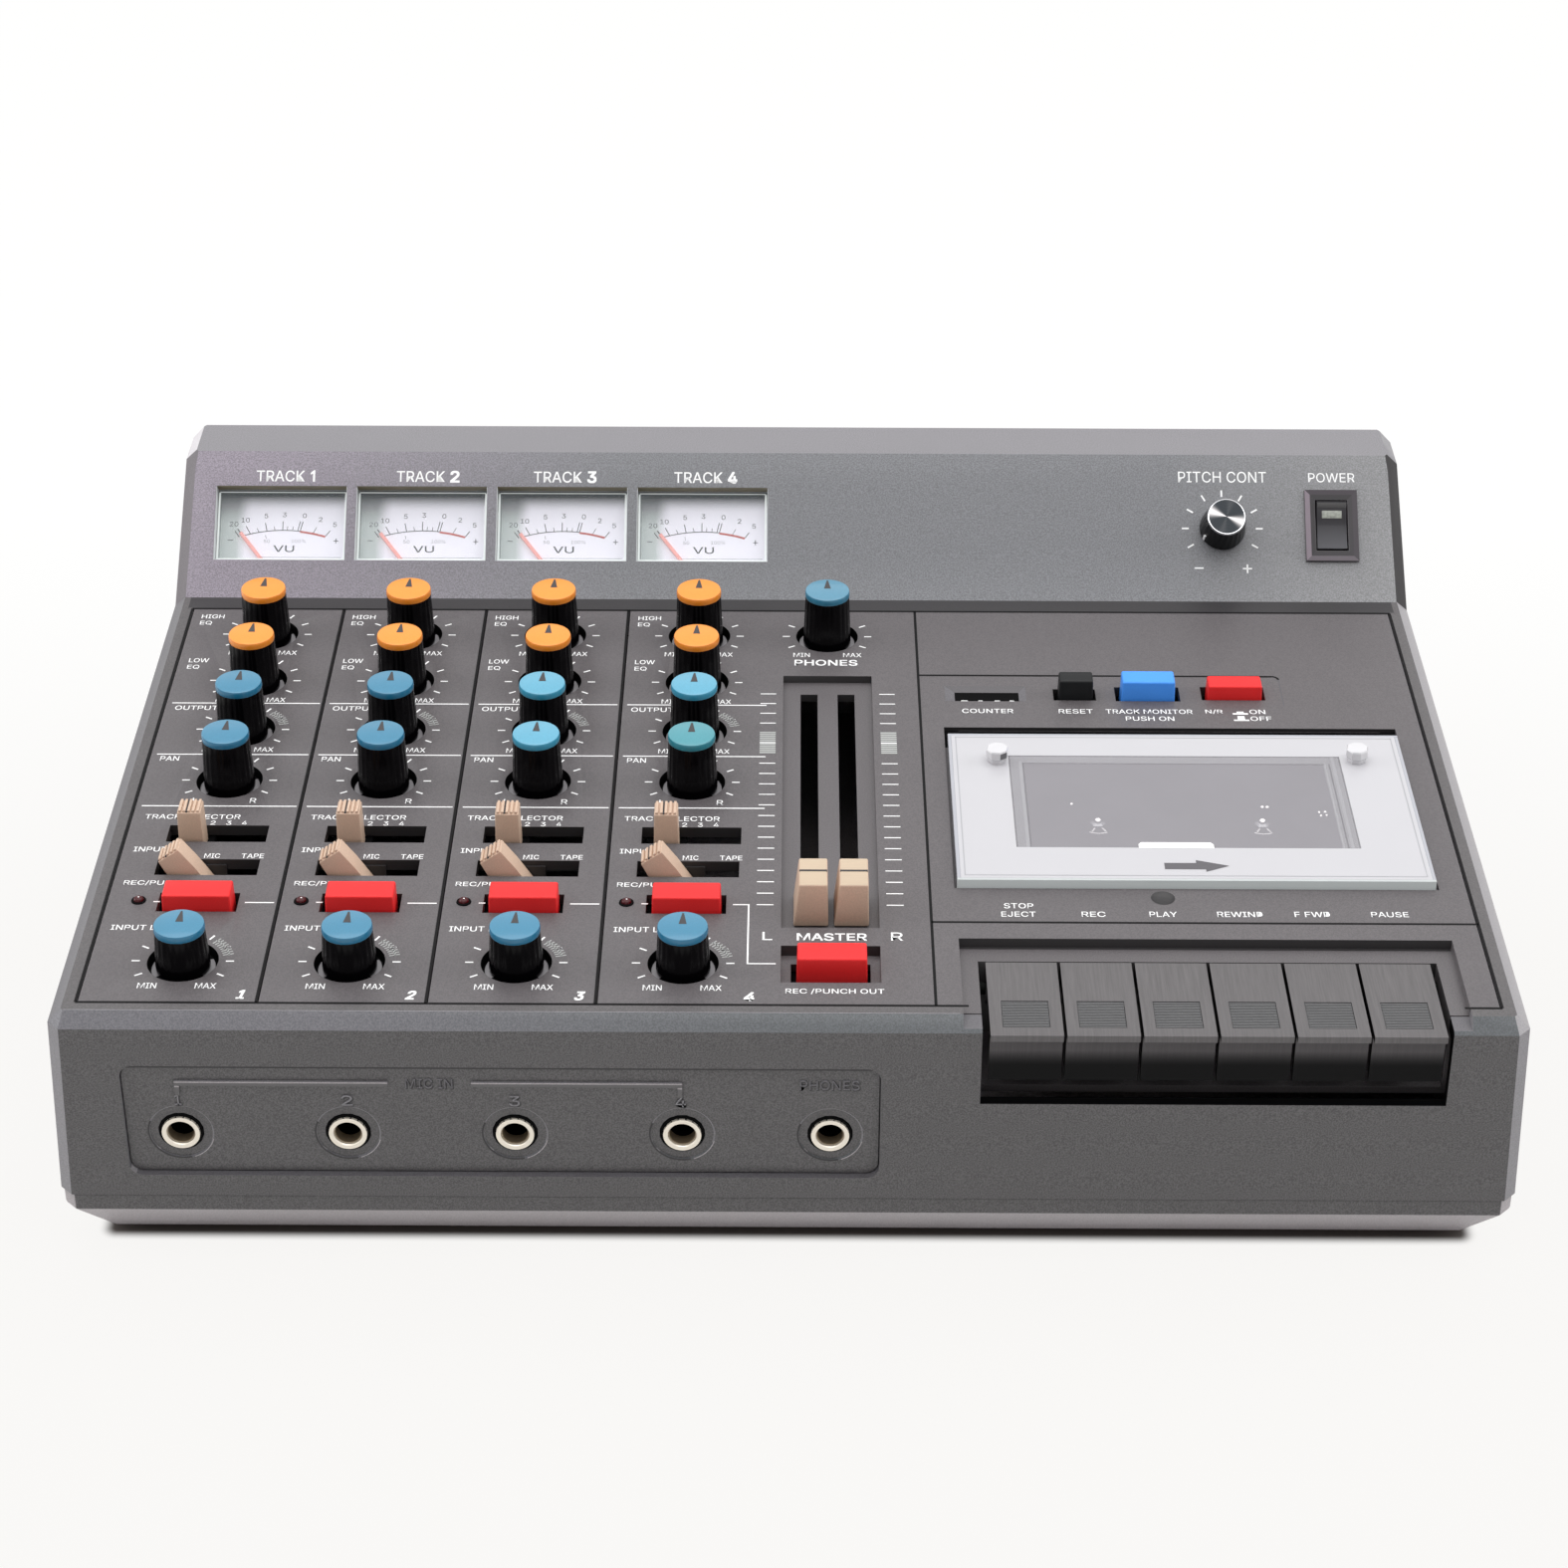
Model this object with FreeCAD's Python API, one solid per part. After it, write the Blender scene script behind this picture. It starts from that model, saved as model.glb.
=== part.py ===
"""Four track cassette recorder: a desktop mixer and tape deck in one case.

Model frame: X to the right, Y to the rear, Z up, in millimetres. The origin is
the middle of the bounding box on the table. The parts are drawn in a working
frame whose zero is the middle of the control panel's front groove, on the
panel's face, and are moved to the model frame when they are written.
"""
import FreeCAD
import Part
import math
import os

V = FreeCAD.Vector
AXIS_X = V(1, 0, 0)
AXIS_Y = V(0, 1, 0)
AXIS_Z = V(0, 0, 1)
ORIGIN = V(0, 0, 0)

# General fits and stock
SEAT_GAP = 0.3          # between a part and what it is seated on
SIDE_GAP = 0.4          # round a plate in its opening
RUN_GAP = 0.05          # radial clearance of a turning shaft
WALL = 2.8              # moulded case wall
OVER = 1.0              # how far a cutting tool runs past a face

# Control panel: four strips and the deck, from left to right
CHANNELS = 4
FIRST_STRIP = 42.7      # left edge of the panel to the first groove
CHANNEL_PITCH = 40.0
LAST_STRIP = 80.1       # channel 4 and the master controls
FIRST_CENTRE = 22.7     # left edge of the panel to the first channel's controls
MASTER_CENTRE = 24.7    # master controls to the deck's groove
DECK_MARGIN = 6.1       # deck's groove to the lid's recess
DECK_SIDE = 7.1         # the lid's recess to the panel's right edge
WELL_HALF = 52.0        # half the width of the cassette well
LID_LAND = 8.0          # the well's side to the recess's side
LID_RECESS_HALF = WELL_HALF + LID_LAND
DECK_CENTRE = DECK_MARGIN + LID_RECESS_HALF
DECK_STRIP = DECK_CENTRE + LID_RECESS_HALF + DECK_SIDE
PANEL_THICK = 3.0
GROOVE = 0.6            # gap between neighbouring plates
BAY_GROOVE = 34.6       # front groove to the groove behind the keys
ROWS = {"high_eq": 173.3, "low_eq": 148.2, "output": 122.9, "pan": 97.7, "input_level": 16.8}
REAR_MARGIN = 14.3      # top row of knobs to the panel's rear edge
PANEL_HALF = (FIRST_STRIP + CHANNEL_PITCH * (CHANNELS - 2) + LAST_STRIP + DECK_STRIP) / 2
PANEL_DEPTH = max(ROWS.values()) + REAR_MARGIN
CHANNEL_X = FIRST_CENTRE - PANEL_HALF
FIRST_GROOVE = FIRST_STRIP - PANEL_HALF
DECK_GROOVE = PANEL_HALF - DECK_STRIP
MASTER_X = DECK_GROOVE - MASTER_CENTRE
DECK_X = DECK_GROOVE + DECK_CENTRE

# Case
PANEL_HEIGHT = 69.5     # table to panel face
RIM = 3.2               # flat rim between panel groove and shoulder chamfer
CHAMFER = 3.3           # shoulder chamfer, all round
CASE_HALF = PANEL_HALF + RIM + CHAMFER
CORNER = 3.0            # facet down each vertical corner
CORNER_TOP = 0.6        # what is left of that facet above the chamfer
SIDE_SLOPE = 0.034      # draft of the walls, mm per mm
SEAM_DROP = 51.6        # panel face to the seam
SEAM_STEP = 0.5         # the lower case sits in by this much
BEVEL_DROP = SEAM_DROP + 4.9
BEVEL_IN = 7.5
FOOT_HEIGHT = 2.0
FLOOR = 2.5             # floor of the lower case
LEDGE_WIDTH = 3.0
LEDGE_THICK = 3.0

# Meter bridge
BRIDGE_RISE = 29.8      # panel face to the top of the bridge
BRIDGE_GAP = 6.4        # panel's rear edge to the foot of the slanted face
BRIDGE_RUN = 32.3       # depth of the slanted face in plan
BRIDGE_TOP = 16.5       # depth of the flat top
BRIDGE_FOOT = PANEL_DEPTH + BRIDGE_GAP
FACE_ANGLE = math.degrees(math.atan2(BRIDGE_RISE, BRIDGE_RUN))
SIN_FACE = math.sin(math.radians(FACE_ANGLE))
FACE_LENGTH = BRIDGE_RISE / SIN_FACE

# Sides of the turned shapes that repeat
FLUTES = 18             # flats round a knob's grip and its well
RIM_SIDES = 16
SMALL_SIDES = 8

# Rotary controls
WELL_RADIUS = 8.5
WELL_DEPTH = 2.0
KNOB_TOP = 15.0
LEVEL_KNOB_TOP = 11.1   # the input level knobs are lower than the rest
KNOB_BASE_RADIUS = 7.2
KNOB_TOP_RADIUS = 6.1
SHAFT_RADIUS = 3.0
SHAFT_FLAT = 1.5        # axis to the flat of the D-shaped shaft
SHAFT_BELOW = 8.0
PITCH_IN = 45.5         # panel's right edge to the pitch knob
PITCH_X = PANEL_HALF - PITCH_IN
PITCH_S = FACE_LENGTH / 2 - 0.2
PITCH_BASE_RADIUS = 6.5
PITCH_TOP_RADIUS = 5.4
PITCH_HEIGHT = 10.5

# Slide and rocking selectors, from the middle of their channel
TRACK_SLOT = (-12.1, 13.1, 68.7, 76.3)
TRACK_X = -5.8          # at rest, in the first of four positions
TRACK_LEVER = (6.4, 6.2, 8.7)
CARRIER = (10.0, 11.0, 2.0)
INPUT_SLOT = (-12.7, 12.8, 53.7, 60.8)
INPUT_PIVOT_DROP = 6.5
INPUT_LEVER = (6.6, 5.6, 15.2)
INPUT_LEAN = 35.0
INPUT_WAIST = 4.4
INPUT_SHOULDER = 0.55   # share of the lever's length where it widens
INPUT_HEEL = 2.2        # pivot to the lower end
TRUNNION_RADIUS = 1.5
TRUNNION_REACH = 1.6
EAR = (4.2, 1.5, 9.8)

# Push buttons: middle X, middle Y, width, depth, top; X from the channel, master or deck middle
REC_BUTTON = (0.0, 41.75, 16.9, 7.5, 4.6)
PUNCH_BUTTON = (0.0, 16.8, 16.4, 7.4, 3.5)
RESET_BUTTON = (-24.2, 142.5, 8.6, 5.2, 5.9)
MONITOR_BUTTON = (-4.5, 142.95, 14.6, 6.7, 5.6)
NOISE_BUTTON = (18.6, 143.45, 14.3, 6.3, 4.0)
BUTTON_SIDE_PLAY = 1.4
BUTTON_END_PLAY = 0.3
BUTTON_FLANGE = (1.2, 2.0)
PUNCH_RECESS = (12.0, 9.1, 24.3, 3.0)

# Master faders
TROUGH = (12.0, 31.9, 151.9, 2.2)
FADER_X = 5.0           # either side of the master middle
FADER_START = 41.7
FADER_TRAVEL = 100.5
FADER_SLOT_HALF = 2.3
FADER_STEM = (3.2, 6.4)
FADER_CAP_BASE = (8.6, 13.2)
FADER_CAP_TOP = (7.0, 12.0)
FADER_CAP_HEIGHT = 10.0
FADER_BLOCK = (8.8, 14.0, 3.6)
BACKING = 2.2           # thickness of a recess floor below the recess
BACKING_MARGIN = 2.2

# Counter, from the middle of the deck
COUNTER_FRAME = (-59.1, -37.3, 139.7, 147.5)
COUNTER_HOLE = (-56.5, -39.7, 140.3, 145.6)
COUNTER_FRAME_DEPTH = 1.0
DRUM_RADIUS = 4.5
DRUM_TOP = 1.7
COUNTER_BLOCK = (17.6, 11.0, 8.0)

# Cassette lid and well
LID_RECESS = (49.4, 125.5, 1.1)
LID_SIDE = 0.7
LID_HALF = LID_RECESS_HALF - LID_SIDE
LID = (49.9, 118.9, 2.2, 3.0)
LID_HINGE = (121.9, 1.45)
HINGE_PIN_RADIUS = 0.8
HINGE_PIN_REACH = 1.6
LID_ARM = (3.0, 1.2)
WELL_FRONT = 52.0
WELL_REAR = 119.0
WELL_FLOOR = 17.0
TRAY_WALL = 1.5
SPINDLE_PITCH = 42.5
SPINDLE_Y = 90.0
SPINDLE_TEETH = 6
SPINDLE_RADIUS = 3.2
SPINDLE_NOSE = 2.2
SPINDLE_HUB = (5.5, 2.0)
SPINDLE_TOP = 7.5
CAPSTAN = (31.1, 60.0, 1.0, 8.0)
ROLLER = (22.6, 59.6, 5.0, 8.5)
HEAD_BLOCK = (15.0, 53.2, 60.0, 9.0)

# Transport keys
KEYS = 6
KEY_PITCH = 17.98
KEY_GAP = 0.78
KEY_WIDTH = KEY_PITCH - KEY_GAP
KEY_SPAN = KEY_PITCH * KEYS - KEY_GAP
BAY_SIDE = 1.75         # end keys to the bay's walls
BAY_HALF = KEY_SPAN / 2 + BAY_SIDE
BAY_REAR = 21.6
BAY_DEPTH = 23.5
BAY_WALL = 2.0
KEY_RECESS_SIDE = 4.45  # bay to the ends of the shallow recess
KEY_RECESS_REAR = 27.7
KEY_RECESS_DEPTH = 2.5
KEY_REAR = 20.6
KEY_REAR_TOP = 2.0
KEY_FRONT = -8.6
KEY_FRONT_TOP = 2.3
KEY_LIP = 1.8
KEY_SKIRT_BACK = 2.4
KEY_SKIRT_DROP = 17.0
KEY_PLATE = 2.6
KEY_PIVOT = (18.2, 8.0)
KEY_ROD_RADIUS = 1.5
KEY_HOOK = 2.6          # half width of the hook that sits on the rod

# Front sockets, in an inset panel that is held behind the case's front wall
JACK_LAND = 6.0         # seam to the lower edge of the socket panel
JACK_RISE = 17.8        # seam to the sockets
JACK_RECESS = (13.1, 11.9, SEAM_DROP - JACK_LAND, 13.7)
JACK_FACE = -6.2
JACK_CORNER = 3.4
JACK_PLATE = 1.8
JACK_RIM = 2.0
JACK_FLANGE = (3.0, 1.6)
JACK_DROP = SEAM_DROP - JACK_RISE
JACK_HOLE_RADIUS = 5.5
JACK_RING_RADIUS = 4.65
JACK_BORE_RADIUS = 3.25
JACK_MOUTH_RADIUS = 4.1
JACK_MOUTH_DEPTH = 3.0
JACK_BORE_LENGTH = 22.0
JACK_BODY = 13.0
JACK_PROUD = 0.4

# Rear sockets and mains inlet, from the ends of the case
LINE_SOCKETS = 6
LINE_IN = 24.5
LINE_PITCH = 22.0
LINE_RISE = 25.6        # seam to the line sockets
LINE_DROP = SEAM_DROP - LINE_RISE
LINE_RING_RADIUS = 4.2
LINE_BORE_RADIUS = 1.6
LINE_WINDOW = (8.0, 6.5)
LINE_BODY = (10.0, 8.5, 12.0)
INLET = (46.5, 24.5, 12.0, 10.0)
INLET_RISE = 21.6       # seam to the middle of the inlet
INLET_DROP = SEAM_DROP - INLET_RISE
INLET_WALL = 1.8
INLET_PIN_RADIUS = 1.2
INLET_PIN_PITCH = 8.6

# Meters, on the slanted face: offsets along the slope are from its foot
METER_BAR = 2.7         # between neighbouring windows
METER_WINDOW = (CHANNEL_PITCH - METER_BAR, 22.2)
METER_S = FACE_LENGTH / 2 + 0.4
METER_SIDE = 0.8        # between neighbouring meter bodies
METER_BODY = (CHANNEL_PITCH - METER_SIDE, 2.0, 35.6)
METER_BODY_DEPTH = 10.0
METER_DIAL_DEPTH = 2.4
METER_WALL = 1.2
GLASS_THICK = 1.0
NEEDLE_PIVOT_S = 5.8
NEEDLE_LENGTH = 21.1
NEEDLE_WIDTH = 0.9
NEEDLE_THICK = 0.5
NEEDLE_HUB_RADIUS = 0.9
NEEDLE_REST = 38.0
NEEDLE_CLEAR = 0.7

# Power rocker, on the slanted face
POWER_IN = 14.5         # panel's right edge to the rocker
POWER_X = PANEL_HALF - POWER_IN
POWER_S = FACE_LENGTH / 2 + 0.6
BEZEL = (15.1, 21.4, 1.0)
ROCKER_HOLE = (9.2, 15.2)
ROCKER = (8.5, 14.0)
ROCKER_SWING = 10.0
ROCKER_PROUD = 0.9
ROCKER_FOOT = (5.2, 6.5)
ROCKER_PIVOT_DROP = 1.0
ROCKER_PIN_RADIUS = 0.8
ROCKER_PIN_REACH = 1.2

FEET_IN = 24.5
FEET_Y = (18.0, 222.0)
FOOT_RADIUS = 8.0

BRIDGE_SHOULDER = BRIDGE_RISE - CHAMFER
REAR_AT_SHOULDER = BRIDGE_FOOT + BRIDGE_RUN + BRIDGE_TOP + CHAMFER
SHOULDER_FRONT = -(RIM + CHAMFER)
INNER_TOP = -(PANEL_THICK + SEAT_GAP + LEDGE_THICK)


def box(x0, x1, y0, y1, z0, z1):
    return Part.makeBox(x1 - x0, y1 - y0, z1 - z0, V(x0, y0, z0))


def centred(cx, cy, width, depth, z0, z1):
    return box(cx - width / 2, cx + width / 2, cy - depth / 2, cy + depth / 2, z0, z1)


def post(radius, x, y, z0, z1):
    return Part.makeCylinder(radius, z1 - z0, V(x, y, z0), AXIS_Z)


def bar(radius, x0, x1, y, z):
    return Part.makeCylinder(radius, x1 - x0, V(x0, y, z), AXIS_X)


def along_y(radius, x, z, y0, y1):
    return Part.makeCylinder(radius, y1 - y0, V(x, y0, z), AXIS_Y)


def fuse(shapes):
    body = shapes[0].fuse(list(shapes[1:])) if len(shapes) > 1 else shapes[0]
    return body.removeSplitter()


def prism(points, start, length, axis):
    """Close a polygon and push it along axis."""
    moved = [p + axis * start for p in points]
    wire = Part.makePolygon(moved + [moved[0]])
    return Part.Face(wire).extrude(axis * length)


def flat_sided(rings):
    """A solid with flat sides between outlines of the same number of points."""
    faces = [Part.Face(Part.makePolygon(ring + ring[:1])) for ring in (rings[0], rings[-1])]
    for low, high in zip(rings, rings[1:]):
        for i in range(len(low)):
            corners = [low[i - 1], low[i], high[i], high[i - 1]]
            faces.append(Part.Face(Part.makePolygon(corners + corners[:1])))
    solid = Part.Solid(Part.Shell(faces))
    if solid.Volume < 0:
        solid.reverse()
    return solid


def turned(radius, sides, base, tip, far_radius=None):
    """A post with flat sides from base to tip, its radius taken to the corners."""
    axis = tip - base
    across = axis.cross(AXIS_X).normalize()
    rings = []
    for centre, r in ((base, radius), (tip, far_radius or radius)):
        angles = [2 * math.pi * (k + 0.5) / sides for k in range(sides)]
        rings.append([centre + AXIS_X * (r * math.cos(a)) + across * (r * math.sin(a)) for a in angles])
    return flat_sided(rings)


def round_hole(radius, sides):
    """The corner radius of a hole whose flats lie at the given radius."""
    return radius / math.cos(math.pi / sides)


def section(z, half, front, rear, cut_x, cut_y):
    """An eight sided outline at height z, with its corners cut off."""
    return [
        V(-half + cut_x, front, z), V(half - cut_x, front, z),
        V(half, front + cut_y, z), V(half, rear - cut_y, z),
        V(half - cut_x, rear, z), V(-half + cut_x, rear, z),
        V(-half, rear - cut_y, z), V(-half, front + cut_y, z)]


def oblong(x, y, z, width, depth):
    w = width / 2
    d = depth / 2
    return [V(x - w, y - d, z), V(x + w, y - d, z), V(x + w, y + d, z), V(x - w, y + d, z)]


def taper(sections):
    return flat_sided([section(*s) for s in sections])


def to_face(shape):
    """Move a shape drawn flat, Y up the slope and Z outwards, to the slanted face."""
    placed = shape.copy()
    placed.rotate(ORIGIN, AXIS_X, FACE_ANGLE)
    placed.translate(V(0, BRIDGE_FOOT, 0))
    return placed


def channel_x(index):
    return CHANNEL_X + CHANNEL_PITCH * index


def wall_half(z, inset):
    return CASE_HALF + SIDE_SLOPE * (-CHAMFER - z) - inset


def wall_front(z, inset):
    return SHOULDER_FRONT - SIDE_SLOPE * (-CHAMFER - z) + inset


def wall_rear(z, inset):
    return REAR_AT_SHOULDER + SIDE_SLOPE * (BRIDGE_SHOULDER - z) - inset


def wall_section(z, inset):
    return (z, wall_half(z, inset), wall_front(z, inset), wall_rear(z, inset), CORNER, CORNER)


def slope_y(z):
    return BRIDGE_FOOT + z * BRIDGE_RUN / BRIDGE_RISE


def case_outside():
    shoulder = -CHAMFER
    top = (0, wall_half(shoulder, CHAMFER), -RIM, wall_rear(shoulder, CHAMFER), CORNER_TOP, CORNER_TOP)
    body = taper([wall_section(-SEAM_DROP, 0), wall_section(shoulder, 0), top])
    facet_y = CHAMFER / SIN_FACE
    low = (shoulder, wall_half(shoulder, 0), slope_y(shoulder), wall_rear(shoulder, 0), CHAMFER, facet_y)
    mid = (BRIDGE_SHOULDER, wall_half(BRIDGE_SHOULDER, 0), slope_y(BRIDGE_SHOULDER),
           REAR_AT_SHOULDER, CHAMFER, facet_y)
    high = (BRIDGE_RISE, wall_half(BRIDGE_SHOULDER, CHAMFER), slope_y(BRIDGE_RISE),
            REAR_AT_SHOULDER - CHAMFER, CORNER_TOP, CORNER_TOP / SIN_FACE)
    return body.fuse(taper([low, mid, high]))


def case_inside():
    lower = taper([wall_section(-SEAM_DROP - OVER, WALL), wall_section(INNER_TOP, WALL)])
    shift = WALL / SIN_FACE
    roof = BRIDGE_RISE - WALL
    inset = CHAMFER + WALL / 2
    ends = []
    for z in (INNER_TOP - OVER, roof):
        ends.append((z, wall_half(z, inset), slope_y(z) + shift, wall_rear(z, inset), CORNER_TOP, CORNER_TOP))
    return lower.fuse(taper(ends))


def panel_opening():
    seat = box(-PANEL_HALF, PANEL_HALF, 0, PANEL_DEPTH, -(PANEL_THICK + SEAT_GAP), OVER)
    through = box(-PANEL_HALF + LEDGE_WIDTH, PANEL_HALF - LEDGE_WIDTH, LEDGE_WIDTH,
                  PANEL_DEPTH - LEDGE_WIDTH, INNER_TOP - OVER, OVER)
    return seat.fuse(through)


def key_openings():
    front = wall_front(-SEAM_DROP, -OVER)
    recess = BAY_HALF + KEY_RECESS_SIDE
    relief = BAY_HALF + BAY_WALL + SEAT_GAP
    return [
        box(DECK_X - recess, DECK_X + recess, front, OVER, -KEY_RECESS_DEPTH, OVER),
        box(DECK_X - BAY_HALF, DECK_X + BAY_HALF, front, LEDGE_WIDTH + OVER, -BAY_DEPTH, OVER),
        box(DECK_X - relief, DECK_X + relief, 0, LEDGE_WIDTH + OVER, INNER_TOP - OVER, 0)]


def jack_centres():
    return [channel_x(i) for i in range(CHANNELS)] + [MASTER_X]


def jack_field(inset, y0, y1):
    """The rounded outline of the inset socket panel, drawn in by inset."""
    left, right, low, high = JACK_RECESS
    field = box(CHANNEL_X - left + inset, MASTER_X + right - inset, y0, y1, -low + inset, -high - inset)
    edges = [e for e in field.Edges if abs(e.tangentAt(e.FirstParameter).y) > 1 - 1e-6]
    return field.makeFillet(JACK_CORNER - inset, edges)


def socket_panel():
    """A shallow tray: its face shows in the case, and a flange holds it behind the wall."""
    left, right, low, high = JACK_RECESS
    margin, thick = JACK_FLANGE
    seat = wall_front(-high, WALL) + SEAT_GAP
    tray = jack_field(SEAT_GAP, JACK_FACE, seat + thick)
    flange = box(CHANNEL_X - left - margin, MASTER_X + right + margin, seat, seat + thick,
                 -low - margin, -high + margin)
    cuts = [jack_field(SEAT_GAP + JACK_RIM, JACK_FACE + JACK_PLATE, seat + thick + OVER)]
    for x in jack_centres():
        start = V(x, JACK_FACE - OVER, -JACK_DROP)
        cuts.append(turned(JACK_HOLE_RADIUS, RIM_SIDES, start, V(x, 0, -JACK_DROP)))
    return tray.fuse(flange).cut(cuts).removeSplitter()


def line_centres():
    return [LINE_IN - CASE_HALF + LINE_PITCH * i for i in range(LINE_SOCKETS)]


def line_window(side, y0, y1):
    centres = line_centres()
    half = LINE_WINDOW[1] + side
    reach = LINE_WINDOW[0] + side
    return box(centres[0] - reach, centres[-1] + reach, y0, y1, -LINE_DROP - half, -LINE_DROP + half)


def face_openings():
    cuts = []
    for i in range(CHANNELS):
        cuts.append(centred(channel_x(i), METER_S, METER_WINDOW[0], METER_WINDOW[1], -WALL - OVER, OVER))
    cuts.append(shaft_hole(PITCH_X, PITCH_S, -WALL - OVER))
    cuts.append(centred(POWER_X, POWER_S, ROCKER_HOLE[0], ROCKER_HOLE[1], -WALL - OVER, BEZEL[2] + OVER))
    pin = ROCKER_PIN_RADIUS + RUN_GAP
    reach = ROCKER[0] / 2 + ROCKER_PIN_REACH + SEAT_GAP
    cuts.append(centred(POWER_X, POWER_S, 2 * reach, 2 * pin, -WALL - OVER, pin - ROCKER_PIVOT_DROP))
    return [to_face(c) for c in cuts]


def power_bezel():
    """The frame round the rocker stands off the face and slopes in to its hole."""
    width, depth, rise = BEZEL
    rings = [oblong(POWER_X, POWER_S, -WALL / 2, width, depth), oblong(POWER_X, POWER_S, 0, width, depth),
             oblong(POWER_X, POWER_S, rise, width - 2 * rise, depth - 2 * rise)]
    return to_face(flat_sided(rings))


def inlet_shell():
    left, right, height, depth = INLET
    x0 = CASE_HALF - left
    x1 = CASE_HALF - right
    rear = wall_rear(-INLET_DROP, WALL / 2)
    low = -INLET_DROP - height / 2
    high = -INLET_DROP + height / 2
    return box(x0 - INLET_WALL, x1 + INLET_WALL, rear - depth - INLET_WALL, rear,
               low - INLET_WALL, high + INLET_WALL)


def inlet_cavity():
    left, right, height, depth = INLET
    x0 = CASE_HALF - left
    x1 = CASE_HALF - right
    rear = wall_rear(-INLET_DROP, WALL / 2)
    cavity = box(x0, x1, rear - depth, rear + WALL + OVER, -INLET_DROP - height / 2, -INLET_DROP + height / 2)
    middle = (x0 + x1) / 2
    pins = []
    for side in (-1, 1):
        x = middle + side * INLET_PIN_PITCH / 2
        tip = V(x, rear, -INLET_DROP)
        pins.append(turned(INLET_PIN_RADIUS, SMALL_SIDES, tip - AXIS_Y * (depth + OVER), tip))
    return cavity.cut(pins)


def upper_case():
    shell = case_outside().cut(case_inside())
    shell = shell.fuse([power_bezel(), inlet_shell()])
    rear = wall_rear(-SEAM_DROP, 0)
    tools = [panel_opening(), inlet_cavity(), line_window(0, rear - 2 * WALL - OVER, rear + OVER)]
    tools += key_openings() + face_openings() + [jack_field(0, wall_front(-SEAM_DROP, -OVER), -RIM + OVER)]
    return shell.cut(tools).removeSplitter()


def bottom_case():
    def ring(z, inset, corner):
        return (z, wall_half(-SEAM_DROP, SEAM_STEP + inset), wall_front(-SEAM_DROP, SEAM_STEP + inset),
                wall_rear(-SEAM_DROP, SEAM_STEP + inset), corner, corner)
    top = -(SEAM_DROP + SEAT_GAP)
    base = FOOT_HEIGHT - PANEL_HEIGHT
    outside = taper([ring(base, BEVEL_IN, CORNER), ring(-BEVEL_DROP, 0, CORNER), ring(top, 0, CORNER)])
    inside = taper([ring(base + FLOOR, BEVEL_IN + WALL / 2, CORNER), ring(-BEVEL_DROP, WALL, CORNER),
                    ring(top + OVER, WALL, CORNER)])
    return outside.cut(inside)


def rubber_feet():
    base = -PANEL_HEIGHT
    x = CASE_HALF - FEET_IN
    places = [V(side * x, y, base) for side in (-1, 1) for y in FEET_Y]
    return [turned(FOOT_RADIUS, RIM_SIDES, p, p + AXIS_Z * FOOT_HEIGHT) for p in places]


def plate(x0, x1, y0, y1):
    return box(x0, x1, y0, y1, -PANEL_THICK, 0)


def strip_edges(index):
    left = -PANEL_HALF + SIDE_GAP if index == 0 else FIRST_GROOVE + CHANNEL_PITCH * (index - 1) + GROOVE / 2
    right = DECK_GROOVE if index == CHANNELS - 1 else FIRST_GROOVE + CHANNEL_PITCH * index
    return left, right - GROOVE / 2


def shaft_hole(x, y, low):
    corner = round_hole(SHAFT_RADIUS + RUN_GAP, SMALL_SIDES)
    return turned(corner, SMALL_SIDES, V(x, y, low), V(x, y, OVER))


def knob_well(x, y):
    return [turned(WELL_RADIUS, FLUTES, V(x, y, -WELL_DEPTH), V(x, y, OVER)),
            shaft_hole(x, y, -PANEL_THICK - OVER)]


def slot(edges, x):
    x0, x1, y0, y1 = edges
    return box(x + x0, x + x1, y0, y1, -PANEL_THICK - OVER, OVER)


def button_slot(button, middle, floor):
    x, y, width, depth, top = button
    return centred(x + middle, y, width + 2 * BUTTON_SIDE_PLAY, depth + 2 * BUTTON_END_PLAY,
                   floor - OVER, OVER)


def lever_ears(x):
    """Two ears under the panel carry the input selector in notches open below."""
    middle = (INPUT_SLOT[2] + INPUT_SLOT[3]) / 2
    half = TRUNNION_RADIUS + RUN_GAP
    notch = box(x - half, x + half, INPUT_SLOT[2] - OVER * 2, INPUT_SLOT[3] + OVER * 2,
                -EAR[2] - OVER, half - INPUT_PIVOT_DROP)
    ears = []
    for side in (-1, 1):
        inner = middle + side * (INPUT_LEVER[1] / 2 + SEAT_GAP)
        y0, y1 = sorted((inner, inner + side * EAR[1]))
        ears.append(box(x - EAR[0], x + EAR[0], y0, y1, -EAR[2], -PANEL_THICK / 2).cut(notch))
    return ears


def backing(recess):
    half, y0, y1, depth = recess
    reach = half + BACKING_MARGIN
    return box(MASTER_X - reach, MASTER_X + reach, y0 - BACKING_MARGIN, y1 + BACKING_MARGIN,
               -depth - BACKING, -PANEL_THICK / 2)


def channel_strip(index):
    x = channel_x(index)
    left, right = strip_edges(index)
    strip = plate(left, right, SIDE_GAP, PANEL_DEPTH - SIDE_GAP)
    cuts = [slot(TRACK_SLOT, x), slot(INPUT_SLOT, x), button_slot(REC_BUTTON, x, -PANEL_THICK)]
    for y in ROWS.values():
        cuts += knob_well(x, y)
    extra = []
    if index == CHANNELS - 1:
        extra = [backing(TROUGH), backing(PUNCH_RECESS)]
        cuts += master_cuts()
    strip = strip.fuse(extra) if extra else strip
    return strip.cut(cuts).fuse(lever_ears(x)).removeSplitter()


def fader_centres():
    return [MASTER_X - FADER_X, MASTER_X + FADER_X]


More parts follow.
